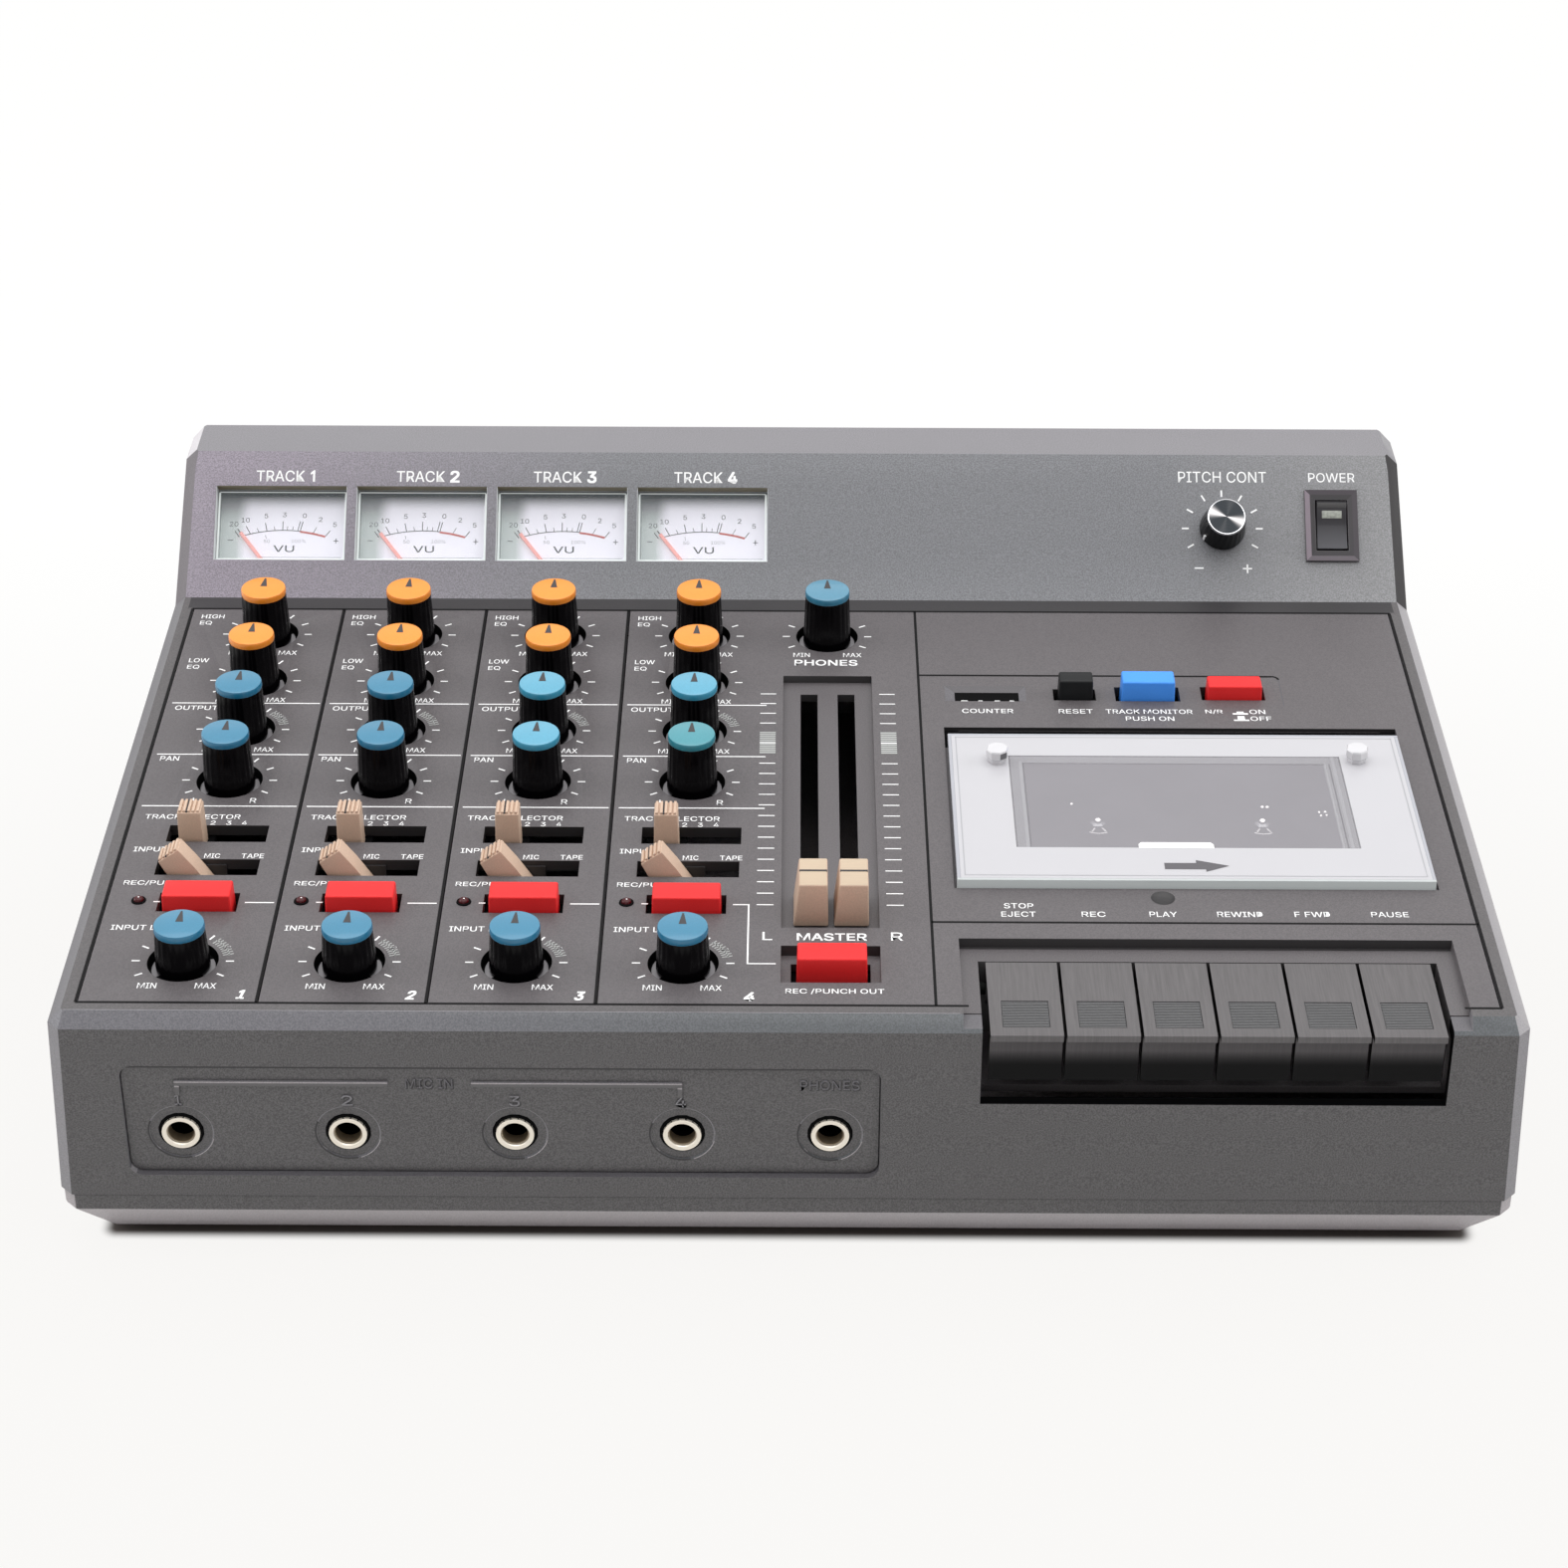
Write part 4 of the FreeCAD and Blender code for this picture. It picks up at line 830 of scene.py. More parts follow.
def lamps():
    """A dark red lamp in a black ring beside each record button."""
    glass = plastic("lamp_red", (70, 6, 14), 0.15, 0.1, Specular_Ior_Level=0.3)
    ring = [(1.2, 0.0), (1.85, 0.0), (1.78, 0.25), (1.35, 0.35), (1.2, 0.0)]
    dome = [(0, 0.0), (1.3, 0.0), (1.28, 0.4), (1.1, 0.8), (0.7, 1.05), (0, 1.15)]
    piece = Draft()
    for index in range(CHANNELS):
        x, y = channel(index) - 14.7, 42.35
        piece.add(turned(ring, 40), shade_black, at(x, y))
        piece.add(turned(dome, 40), glass, at(x, y))
        # Painted highlight: a white dot on each lamp's dome.
        piece.mark(arc(x + 0.1, y - 0.15, 0.0, 0.22, 0, 360, 12, 1.19), white_ink)
    piece.piece("record_lamps", "housing", "panel_plastic")


# ---------------------------------------------------------------- print

def rotary_scale(marks, x, y, ends=("MIN", -9.3, 2.15, 4.5, "MAX", 4.4, 5.0), foot=11.2):
    """Nine ticks round a knob, and a word at each end of its turn."""
    for angle in range(-120, 121, 30):
        marks.mark(tick(x, y, angle, 10.3, 12.3, 0.5), white_ink)
    low, left, cap, low_width, high, right, high_width = ends
    marks.write(low, x + left, y - foot, cap, low_width)
    marks.write(high, x + right, y - foot, cap, high_width)


def level_arc(marks, x, y):
    """The grey hatched stretch that marks the usual level."""
    for angle in range(40, 76, 5):
        marks.mark(tick(x, y, angle, 9.6, 12.2, 0.36), grey_ink)
    marks.mark(arc(x, y, 10.9, 11.3, 38, 77, 8), grey_ink)


def channel_print(marks, index):
    x = channel(index)
    left = strip_left(index)
    right = x + 18.9
    for text, inset, y, cap, width in (
            ("HIGH", 2.7, 182.0, 2.2, 6.3), ("EQ", 2.7, 178.4, 2.2, 3.3), ("LOW", 2.7, 157.8, 2.2, 5.4),
            ("EQ", 2.7, 154.2, 2.2, 3.3), ("OUTPUT", 2.7, 132.7, 2.2, 11.4), ("PAN", 2.7, 107.1, 2.2, 4.9),
            ("TRACK SELECTOR", 3.2, 79.2, 2.1, 24.3)):
        marks.write(text, left + inset, y, cap, width)
    for place, digit in zip((-6.3, -2.0, 2.0, 6.0), "1234"):
        marks.write(digit, x + place, 76.5, 1.85, 0.75 if digit == "1" else 1.25)
    marks.write("INPUT", left + 2.7, 64.1, 2.1, 8.4)
    marks.write("MIC", x - 1.4, 61.3, 2.0, 3.9)
    marks.write("TAPE", x + 7.9, 61.3, 2.0, 5.6)
    marks.write("REC/PUNCH IN", left + 2.7, 49.0, 2.2, 20.1)
    marks.write("INPUT LEVEL", left + 2.7, 29.7, 2.1, 17.6)
    marks.write(str(index + 1), x + 14.8, 1.6, 3.3, 2.3 if index else 1.7, weight=0.14, lean=0.25)
    for y in (136.3, 110.3, 85.3):
        marks.line(left + 1.5, right, y - 0.22, y + 0.22, white_ink)
    marks.line(x - 11.0, x - 9.4, 41.65, 42.1, white_ink)
    if index < CHANNELS - 1:
        marks.line(x + 11.5, right - 0.2, 41.45, 41.9, white_ink)
    else:
        for x0, x1, y0, y1 in ((x + 11.5, -9.7, 41.45, 41.9), (-10.1, -9.7, 16.5, 41.45),
                               (-9.7, -3.1, 16.5, 16.95)):
            marks.line(x0, x1, y0, y1, white_ink)
    for row in ("high_eq", "low_eq", "output", "input_level"):
        rotary_scale(marks, x, ROWS[row])
    rotary_scale(marks, x, ROWS["pan"], ("L", -8.2, 2.2, 1.5, "R", 6.6, 1.6), 10.8)
    level_arc(marks, x, ROWS["output"])
    level_arc(marks, x, ROWS["input_level"])


def master_print(marks):
    rotary_scale(marks, MASTER, ROWS["high_eq"])
    marks.write("PHONES", 1.2, 157.5, 3.0, 17.1, weight=0.07)
    for x in (-8.0, 24.0):
        for step in range(21):
            y = 142.3 - 5.03 * step
            if step not in (4, 5, 6):
                marks.line(x, x + 4.2, y - 0.2, y + 0.2, white_ink)
        for step in range(11):
            y = 122.4 - step
            marks.line(x, x + 4.2, y - 0.36, y + 0.36, grey_ink)
        marks.line(x, x + 4.2, 116.95, 117.4, white_ink, INK * 2)
    marks.write("L", -6.4, 26.6, 3.4, 2.4)
    marks.write("R", 24.8, 26.6, 3.4, 2.9)
    marks.write("MASTER", 2.0, 26.5, 3.0, 16.9, weight=0.08)
    marks.write("REC /PUNCH OUT", -0.7, 4.4, 2.2, 23.4)


def deck_print(marks):
    for text, x, y, width in (
            ("COUNTER", 46.1, 132.8, 13.7), ("RESET", 72.0, 132.8, 9.1), ("TRACK MONITOR", 84.6, 132.8, 23.2),
            ("PUSH ON", 89.7, 129.2, 12.9), ("N/R", 111.3, 132.9, 4.6), ("ON", 123.1, 132.9, 4.2),
            ("OFF", 123.0, 129.4, 5.6), ("STOP", 52.8, 40.6, 7.2), ("EJECT", 52.0, 37.0, 8.4),
            ("REC", 71.7, 37.1, 5.8), ("PLAY", 88.3, 37.2, 6.7), ("REWIND", 104.9, 37.3, 11.3),
            ("F FWD", 123.8, 37.4, 8.9), ("PAUSE", 142.6, 37.5, 9.1)):
        marks.write(text, x, y, 2.2, width)
    for y, step in ((132.6, 0.0), (129.3, 1.0)):
        marks.line(118.5, 122.6, y, y + 0.7, white_ink)
        marks.line(119.6, 121.5, y + 0.7, y + 1.5 + step, white_ink)
    marks.line(34.9, 131.0, 152.1, 152.9, groove_ink)
    marks.mark(arc(131.0, 150.85, 1.4, 2.05, 0, 90, 8), groove_ink)
    marks.line(132.55, 132.95, 137.0, 150.85, dark_ink)


def figure_one(x, y, cap):
    """The figure one as a plain stem with a flag."""
    points = [(0.84, 0), (0.84, 1), (0.62, 1), (0.1, 0.76), (0.1, 0.6), (0.5, 0.72), (0.5, 0)]
    return patch([(x + across * 0.5 * cap, y + up * cap) for across, up in points])


PITCH = (122.5, 21.77)


def face_print():
    marks = Draft()
    for index, back in enumerate((0.0, 0.0, 0.9, 0.8)):
        start = channel(index) - 7.3 - back
        marks.write("TRACK", start, 34.8, 3.3, 13.7, weight=0.03)
        if index:
            marks.write(str(index + 1), start + 15.4, 34.8, 3.3, 2.4, weight=0.15)
        else:
            marks.mark(figure_one(start + 15.2, 34.75, 3.5), white_ink)
    for angle in range(-120, 121, 30):
        marks.mark(tick(*PITCH, angle, 9.5, 11.5, 0.5), white_ink)
    marks.write("PITCH CONT", PITCH[0] - 12.2, 35.6, 3.3, 25.1, weight=0.01)
    marks.write("POWER", 147.4, 35.8, 2.8, 13.2, weight=0.01)
    marks.line(114.3, 116.9, 9.7, 10.15, white_ink)
    marks.line(128.0, 130.6, 9.6, 10.05, white_ink)
    marks.line(129.08, 129.53, 8.5, 11.1, white_ink)
    marks.piece("bridge_print", "housing", "panel_plastic", FACE)


def print_pieces():
    marks = Draft()
    for index in range(CHANNELS):
        channel_print(marks, index)
    master_print(marks)
    deck_print(marks)
    marks.piece("panel_print", "housing", "panel_plastic")
    face_print()


# ---------------------------------------------------------------- knobs

FLUTES = 22
CAP_TOP = 14.95
LOW_CAP_TOP = 11.05     # on the input level knobs
CAP_TALL = 1.9


def fluted(levels):
    """A ring of flutes drawn up through (height, radius, flute depth) levels."""
    shape = bmesh.new()
    bmesh.ops.create_circle(shape, cap_ends=False, segments=FLUTES * 6, radius=1.0)
    ring = list(shape.edges)

    def settle(points, height, radius, depth):
        for v in points:
            a = math.atan2(v.co.y, v.co.x)
            r = radius - depth * (0.5 + 0.5 * math.cos(FLUTES * a)) ** 2
            v.co = Vector((r * math.cos(a), r * math.sin(a), height))

    settle(shape.verts, *levels[0])
    bmesh.ops.contextual_create(shape, geom=ring)
    for level in levels[1:]:
        grown = bmesh.ops.extrude_edge_only(shape, edges=ring)["geom"]
        settle([g for g in grown if isinstance(g, bmesh.types.BMVert)], *level)
        ring = [g for g in grown if isinstance(g, bmesh.types.BMEdge)]
    bmesh.ops.contextual_create(shape, geom=ring)
    return shape


def knob(name, x, y, cap, top=CAP_TOP):
    """The grip tapers to a flat coloured cap with a wedge on it as the pointer."""
    foot = top - CAP_TALL
    place = at(x, y)
    piece = Draft()
    piece.add(fluted([(-1.7, 6.3, 0), (-1.55, 6.5, 0), (-1.0, 6.58, 0), (-0.6, 6.58, 0.03), (0.2, 6.55, 0.12),
                      (foot / 3, 6.42, 0.14), (foot * 0.66, 6.24, 0.14), (foot - 0.3, 6.06, 0.12),
                      (foot, 6.0, 0.06), (foot + 0.5, 5.7, 0)]), grip_black, place)
    piece.add(turned([(0, foot + 0.1), (5.8, foot - 0.05), (6.08, foot + 0.05), (6.16, foot + 0.4),
                      (6.1, top - 0.5), (5.95, top - 0.16), (5.6, top - 0.02), (0, top)], 72), cap, place)
    # Painted shade: the cap's sides take a darker copy of its colour.
    piece.repaint(shaded_rims[cap.name], lambda n, m: n.z < 0.55 and m.z > foot)
    piece.add(outline([(-0.95, 0.6), (0.95, 0.6), (0.2, 5.1), (-0.2, 5.1)], top - 0.02, top + 0.03),
              pointer_ink, place)
    piece.add(turned([(0, -7.6), (2.9, -7.6), (2.9, -1.4), (0, -1.4)], 24), nickel, place)
    piece.piece(name + "_turned", name, "knob_black", stands_for=name)


def knobs():
    for index in range(CHANNELS):
        for row, y in ROWS.items():
            bright = index >= 2 and row in ("output", "pan")
            cap = cap_orange if "eq" in row else cap_cyan if bright else cap_teal
            if index == 3 and row == "pan":
                cap = cap_green
            knob("ch%d_%s_knob" % (index + 1, row), channel(index), y, cap,
                 LOW_CAP_TOP if row == "input_level" else CAP_TOP)
    knob("phones_knob", MASTER, ROWS["high_eq"], cap_plain)


# ---------------------------------------------------------------- levers, buttons and faders

def ridges(piece, width, depth, top, place):
    """Five ridges across the tip, with a dark line between the middle two."""
    pitch = width / 5
    for i in range(5):
        ridge = centred(-width / 2 + pitch * (i + 0.5), 0, pitch * 0.62, depth - 0.5, top - 0.8, top, 0.18)
        piece.add(ridge, tan, place)
    piece.add(centred(-pitch * 0.5, 0, pitch * 0.4, depth - 0.4, top - 0.8, top - 0.35), tan_mark, place)


def levers():
    for index in range(CHANNELS):
        name = "ch%d_track_lever" % (index + 1)
        lever = Draft()
        place = at(channel(index) - 5.8, 72.5)
        lever.add(tapered(0, 0, (6.4, 6.2), (5.9, 6.0), -4.3, 8.1, 0.3, 3), tan, place)
        ridges(lever, 5.7, 6.0, 8.7, place)
        lever.add(centred(0, 0, 10.0, 11.0, -5.3, -3.3, 0.2), shade_black, place)
        lever.piece(name + "_grip", name, "lever_tan", stands_for=name)
        name = "ch%d_input_lever" % (index + 1)
        lever = Draft()
        pivot = at(channel(index), 57.25, -6.5)
        lean = pivot @ turn(-35, "Y")
        upright = turn(90, "X")
        side = outline([(-2.2, -2.2), (2.2, -2.2), (2.2, 0), (2.6, 8.4), (2.5, 14.6), (-3.9, 14.6),
                        (-4.9, 8.4), (-2.2, 0)], -2.8, 2.8, 0.3)
        lever.add(side, tan, lean @ upright)
        ridges(lever, 6.2, 5.6, 15.15, lean @ at(-0.7, 0))
        lever.add(turned([(0, -4.6), (1.5, -4.6), (1.5, 4.6), (0, 4.6)], 24), tan, pivot @ upright)
        lever.piece(name + "_grip", name, "lever_tan", stands_for=name)


def button(name, place, size, top, finish, slot, floor=-PANEL_THICK):
    width, depth = size
    piece = Draft()
    piece.add(tapered(*place, size, (width - 0.5, depth - 0.4), floor - 1.2, top, 0.55, 4), finish)
    piece.add(centred(*place, width + 5.2, depth + 3.0, floor - 2.3, floor - 0.3, 0.2), shade_black)
    piece.piece(name + "_cap", name, slot, stands_for=name)


def buttons():
    for index in range(CHANNELS):
        place = (channel(index) + 0.15, 41.75)
        button("ch%d_rec_button" % (index + 1), place, (17.2, 7.5), 4.3, red, "button_red")
    button("punch_out_button", (MASTER + 0.3, 16.95), (17.2, 7.6), 3.8, red, "button_red", -5.2)
    button("counter_reset_button", (DECK - 24.0, 142.5), (9.5, 5.6), 5.9, black, "button_black")
    button("track_monitor_button", (DECK - 4.5, 142.95), (14.6, 6.7), 5.6, blue, "button_blue")
    button("noise_reduction_button", (DECK + 18.9, 143.45), (14.9, 6.3), 4.0, red, "button_red")


def faders():
    y = 41.7
    for name, x, stem in (("fader_left", MASTER - 4.75, MASTER - 5.0),
                          ("fader_right", MASTER + 5.2, MASTER + 5.0)):
        cap = Draft()
        cap.add(tapered(x, y, (8.6, 13.2), (7.0, 12.0), -1.9, 9.95, 0.45, 3, shift=0.55), tan)
        cap.repaint(tan_top, lambda n, m: n.z > 0.9 and m.z > 9)
        cap.add(centred(x + 0.55, y + 0.4, 6.8, 0.75, 9.5, 10.0), tan_mark)
        cap.add(centred(stem, y, 3.2, 6.4, -6.6, 0.0), shade_black)
        cap.add(centred(stem, y, 8.8, 14.0, -8.3, -4.7, 0.2), shade_black)
        cap.piece(name + "_cap", name, "lever_tan", stands_for=name)


# ---------------------------------------------------------------- keys

KEYS = 6
KEY_PITCH = 17.98
KEY_FIRST = 55.95       # middle of the first key


def keys():
    tilt = Matrix.Rotation(math.atan2(0.3, 29.2), 4, "X")
    for index in range(KEYS):
        name = "transport_key_%d" % (index + 1)
        slope = at(KEY_FIRST + KEY_PITCH * index, -8.6, -2.3) @ tilt
        pocket = block(-5.6, 5.6, 3.3, 13.7, -0.35, 1.0)
        bmesh.ops.transform(pocket, matrix=slope, verts=pocket.verts)
        key = Draft()
        key.add(carve(cad_copy(name), [pocket]), key_paint)
        # Painted shade: near black sides and undersides, and fronts that go dark towards the bay's floor.
        key.repaint(key_side, lambda n, m: abs(n.x) > 0.7 or n.z < -0.5)
        key.repaint(key_skirt, lambda n, m: n.y < -0.7 and m.z < -5)
        key.add(block(-5.58, 5.58, 3.32, 13.68, -0.5, -0.24), pad_paint, slope)
        for rib in range(16):
            y = 3.65 + rib * 0.62
            key.add(block(-5.5, 5.5, y, y + 0.34, -0.3, -0.06, 0.08, 1), pad_rib, slope)
        eased(key.piece(name + "_top", name, "key_plastic", stands_for=name), 0.2)


# ---------------------------------------------------------------- lid

PIN_PLACE = (121.9, -1.45)
SPINDLE_Y = 90.0
SPINDLE_REACH = 21.25   # from the deck's middle


def lid_nut(piece, x, y, bright, dark=None):
    """A clear faceted nut; one flat carries a painted reflection of the dark panel, a dark facet."""
    place = at(x, y, LID_TOP) @ turn(11.5)
    nut = turned([(0, 0), (2.45, 0), (2.6, 1.2), (2.95, 1.6), (2.95, 3.5), (2.7, 3.85), (0, 3.95)], 8)
    piece.add(nut, bright, place, smooth=False)
    if dark:
        piece.add(block(-0.98, 0.98, -2.79, -2.7, 1.75, 3.4), dark, place @ turn(22.5))


def lid():
    frame_white = plastic("lid_frame", (194, 193, 197), 0.3, 0.015, Coat_Weight=0.5, Coat_Roughness=0.05)
    # Painted reflection: a grey veil over the window stands for the bright room mirrored in the acrylic.
    reflection_veil = plastic("lid_window", (171, 168, 174), 0.12, 0.04, Alpha=0.64, Coat_Weight=0.4)
    edge = plastic("lid_edge", (176, 177, 184), 0.1, 0.05)
    # Painted light: the lid's front edge glows.
    front_edge = plastic("lid_front_edge", (168, 172, 172), 0.1, 0.06,
                         Emission_Color=srgb(190, 196, 196), Emission_Strength=0.36)
    band = plastic("lid_window_border", (192, 191, 195), 0.15, 0.03, Alpha=0.4)
    pale = plastic("lid_pale_line", (206, 205, 209), 0.3, 0.05, Alpha=0.35)
    inner = plastic("lid_inner_line", (124, 122, 126), 0.3, 0.05, Alpha=0.28)
    faint = plastic("lid_edge_line", (168, 168, 172), 0.3, 0.05)
    x0, x1, y0, y1 = DECK - 43.9, DECK + 42.6, 64.6, 108.0
    lip = 0.9
    low = LID_TOP - 3.0
    left, right, front, rear = LID_LEFT + lip, LID_RIGHT - lip, LID_FRONT + lip, LID_REAR - lip
    piece = Draft()
    for edges, finish in (((LID_LEFT, LID_RIGHT, LID_FRONT, front), front_edge),
                          ((LID_LEFT, LID_RIGHT, rear, LID_REAR), edge),
                          ((LID_LEFT, left, front, rear), edge), ((right, LID_RIGHT, front, rear), edge)):
        piece.add(block(*edges, low, LID_TOP, 0.12), finish)
    for edges in ((left, x0, front, rear), (x1, right, front, rear), (x0, x1, front, y0), (x0, x1, y1, rear)):
        piece.add(block(*edges, low + 0.1, LID_TOP - 0.02), frame_white)
    for finish, z, places in (
            (reflection_veil, -0.06, [(x0, x1, y0, y1)]),
            (band, -0.04, [(x0, x0 + 3.6, y0, y1), (x1 - 4.4, x1, y0, y1),
                           (x0 + 3.6, x1 - 4.4, y1 - 3.6, y1)]),
            (pale, -0.03, [(x0 + 2.6, x0 + 3.4, y0, y1 - 3.0), (x1 - 2.4, x1 - 1.6, y0, y1),
                           (x1 - 4.6, x1 - 4.0, y0, y1 - 3.0)]),
            (inner, -0.02, [(x0 + 3.5, x0 + 3.9, y0, y1 - 3.6), (x0 + 3.5, x1 - 4.4, y1 - 4.1, y1 - 3.6),
                            (x0, x0 + 0.4, y0, y1), (x1 - 3.3, x1 - 2.9, y0, y1 - 3.6),
                            (x0, x1, y1 - 0.5, y1), (x1 - 0.4, x1, y0, y1)]),
            (faint, INK / 2, [(LID_LEFT + 1.9, LID_LEFT + 2.15, LID_FRONT + 2.2, LID_REAR - 1.6),
                              (LID_RIGHT - 2.15, LID_RIGHT - 1.9, LID_FRONT + 2.2, LID_REAR - 1.6),
                              (LID_LEFT + 1.9, LID_RIGHT - 1.9, LID_FRONT + 2.0, LID_FRONT + 2.3),
                              (LID_LEFT + 1.9, LID_RIGHT - 1.9, LID_REAR - 1.9, LID_REAR - 1.6)])):
        for edges in places:
            piece.line(*edges, finish, LID_TOP + z)
    window_tab = [(87.7, 64.3), (106.6, 64.3), (106.6, 66.1), (105.9, 67.0), (88.4, 67.0), (87.7, 66.1)]
    piece.mark(patch(window_tab, LID_TOP + INK), white_ink)
    arrow = [(93.4, 54.9), (103.6, 54.9), (103.6, 53.8), (109.6, 56.5),
             (101.4, 59.0), (101.4, 57.7), (93.4, 57.7)]
    piece.mark(patch(arrow, LID_TOP + INK), dark_ink)
    for side, outer in ((-1, LID_LEFT), (1, LID_RIGHT)):
        arm = sorted((outer, outer - side * 3.0))
        piece.add(block(*arm, LID_REAR - 0.2, 123.1, -2.6, 0.0, 0.2), shade_black)
        start, end = sorted((outer - side * 1.5, outer + side * 2.3))
        pin = turned([(0, 0), (0.8, 0), (0.8, end - start), (0, end - start)], 16)
        piece.add(pin, shade_black, at(start, *PIN_PLACE) @ turn(90, "Y"))
    clear = plastic("clear_nut", (214, 213, 216), 0.08, 0.02, Coat_Weight=0.6, Coat_Roughness=0.02)
    # Painted reflection: the dark facet on the left nut.
    glint = plastic("nut_shade", (104, 104, 106), 0.3, 0.1)
    lid_nut(piece, 54.0, 105.6, clear, glint)
    lid_nut(piece, 147.8, 106.4, clear)
    piece.piece("cassette_lid_plate", "cassette_lid", "lid_acrylic", stands_for="cassette_lid", crease=20)


def deck_parts():
    """Bright tips of the spindles and of small screws show through the lid: glowing points and dots are
    painted glints, and light marks round the spindles are painted reflections.
    """
    # Painted glints: a glowing finish for the spindles' points and the screws' dots.
    glow = plastic("spindle_glint", (250, 246, 240), 0.2, 0.02,
                   Emission_Color=(1.0, 0.96, 0.92), Emission_Strength=1.9)
    tip = [(0, -7.4), (2.3, -7.4), (2.1, -6.9), (1.1, -6.6), (0.95, -6.1), (0, -6.0)]
    point = [(0, -6.1), (0.75, -6.1), (0.6, -5.85), (0, -5.8)]
    piece = Draft()
    for x in (DECK - SPINDLE_REACH, DECK + SPINDLE_REACH):
        place = at(x, SPINDLE_Y)
        piece.add(turned(tip, 6), steel, place, smooth=False)
        piece.add(turned(point, 6), glow, place, smooth=False)
        # Painted reflections: light marks on the deck round each spindle.
        for angle in (152, 204):
            piece.mark(tick(x, SPINDLE_Y, angle, 1.9, 4.0, 0.42, -7.3), spindle_shine)
        piece.mark(arc(x, SPINDLE_Y, 4.3, 4.7, 150, 212, 12, -7.3), spindle_shine)
    for x, y, r in ((22.2, 98.3, 0.42), (23.5, 98.3, 0.42), (-27.4, 99.4, 0.35), (36.7, 95.9, 0.3),
                    (38.3, 96.1, 0.34), (37.0, 94.3, 0.3), (38.5, 94.5, 0.26)):
        piece.add(turned([(0, -7.3), (r, -7.3), (r * 0.8, -7.1), (0, -7.0)], 12), glow, at(DECK + x, y))
    piece.piece("deck_spindle_tips", "housing", "deck_plastic")


# ---------------------------------------------------------------- meters

DIAL = -6.8             # the printed dial, below the slanted face
DIAL_MIDDLE = 0.15      # middle of the scale from the channel's middle
SCALE_RADIUS = 41.0
SCALE_TOP = 22.4
SCALE_SPLIT = 4.6       # where the red stretch of the scale starts
DIAL_TICKS = (          # distance from the scale's middle, lean, length
    (-12.8, -35, 2.2), (-9.6, -29, 2.7), (-7.2, -24, 1.4), (-4.9, -12, 2.6), (-2.6, -14, 1.3),
    (-0.4, 0, 2.7), (0.9, 5, 1.2), (2.4, 8, 1.2), (3.9, 13, 3.0), (4.6, 14, 3.0), (8.3, 29, 2.0),
    (11.9, 37, 2.1))
PANE = -3.05            # lines on the meters' clear cases


def dial_print(face, x):
    z = DIAL + 0.04
    cx = x + DIAL_MIDDLE
    cy = SCALE_TOP - SCALE_RADIUS
    for near, far, start, end, steps, finish, lift in (
            (-0.12, 0.14, -11.6, SCALE_SPLIT, 24, scale_ink, 0),
            (-0.3, 0.14, SCALE_SPLIT, 11.9, 14, scale_red, 0.004),
            (-0.45, -0.3, SCALE_SPLIT, 11.9, 14, scale_red, 0.004)):
        angles = [math.degrees(math.asin(across / SCALE_RADIUS)) for across in (start, end)]
        face.mark(arc(cx, cy, SCALE_RADIUS + near, SCALE_RADIUS + far, *angles, steps, z + lift), finish)
    for across, lean, size in DIAL_TICKS:
        foot = cy + math.sqrt(SCALE_RADIUS ** 2 - across ** 2)
        face.mark(tick(cx + across, foot, lean, 0, size, 0.24 if size > 2 else 0.18, z), scale_ink)
    for across, up, text in (
            (-14.25, 23.55, "20"), (-11.0, 24.75, "10"), (-5.1, 26.05, "5"), (0.15, 26.4, "3"),
            (5.9, 26.15, "0"), (10.5, 25.0, "2"), (14.65, 23.5, "5")):
        face.write(text, x + across, up, 1.4, None, numeral_ink, side="centre", weight=0.01, z=z)
    for x0, x1, y0, y1 in ((-15.9, -14.3, 19.25, 19.5), (14.4, 15.8, 19.1, 19.35),
                           (14.97, 15.22, 18.5, 20.0)):
        face.line(x + x0, x + x1, y0, y1, numeral_ink, z)
    face.write("VU", x + 0.25, 15.9, 1.95, 5.9, scale_ink, side="centre", weight=0.03, z=z)
    face.write("50", x - 4.7, 18.6, 1.0, None, faint_ink, side="centre", weight=0.0, z=z)
    face.write("100%", x + 4.4, 18.7, 1.0, None, faint_ink, side="centre", weight=0.0, z=z)
    face.mark(tick(x - 4.9, 19.9, -12, 0, 1.1, 0.18, z), faint_ink)


def dial_finish():
    """A lamp-lit white dial, with painted shadow under its upper edge and in its upper left corner, and
    greenish at its left.
    """
    top = FACE @ Vector((0, 33.4, DIAL)) / MM
    dial = Finish("meter_white", Roughness=0.5, Emission_Strength=0.22)
    across, back, up = dial.axes()
    clouds = dial.noise(9.0, 2.0)
    slope = (back - top[1]) * math.cos(SLOPE) + (up - top[2]) * math.sin(SLOPE)
    shadow = ((slope + 5.0) * (1 / 4.4)).limited().math("POWER", 1.7)
    place = ((across - FIRST_CHANNEL + 60.0) * (1 / CHANNEL_PITCH)).math("FRACT")
    left = ((0.235 - place) * (1 / 0.075)).limited() * 0.8
    corner = ((slope + 9.0) * (1 / 5.0)).limited() * ((0.27 - place) * (1 / 0.1)).limited() * 0.7
    lit = dial.mix(clouds, srgb(226, 224, 235), srgb(236, 234, 244))
    side = dial.mix(corner, dial.mix(left, lit, srgb(164, 176, 172)), srgb(118, 116, 124))
    glow = dial.mix(corner, dial.mix(left, srgb(230, 228, 238), srgb(150, 166, 160)), srgb(80, 80, 86))
    dial.shade(Base_Color=dial.mix(shadow, side, srgb(70, 78, 86)),
               Emission_Color=dial.mix(shadow, glow, srgb(40, 46, 52)))
    return dial.material


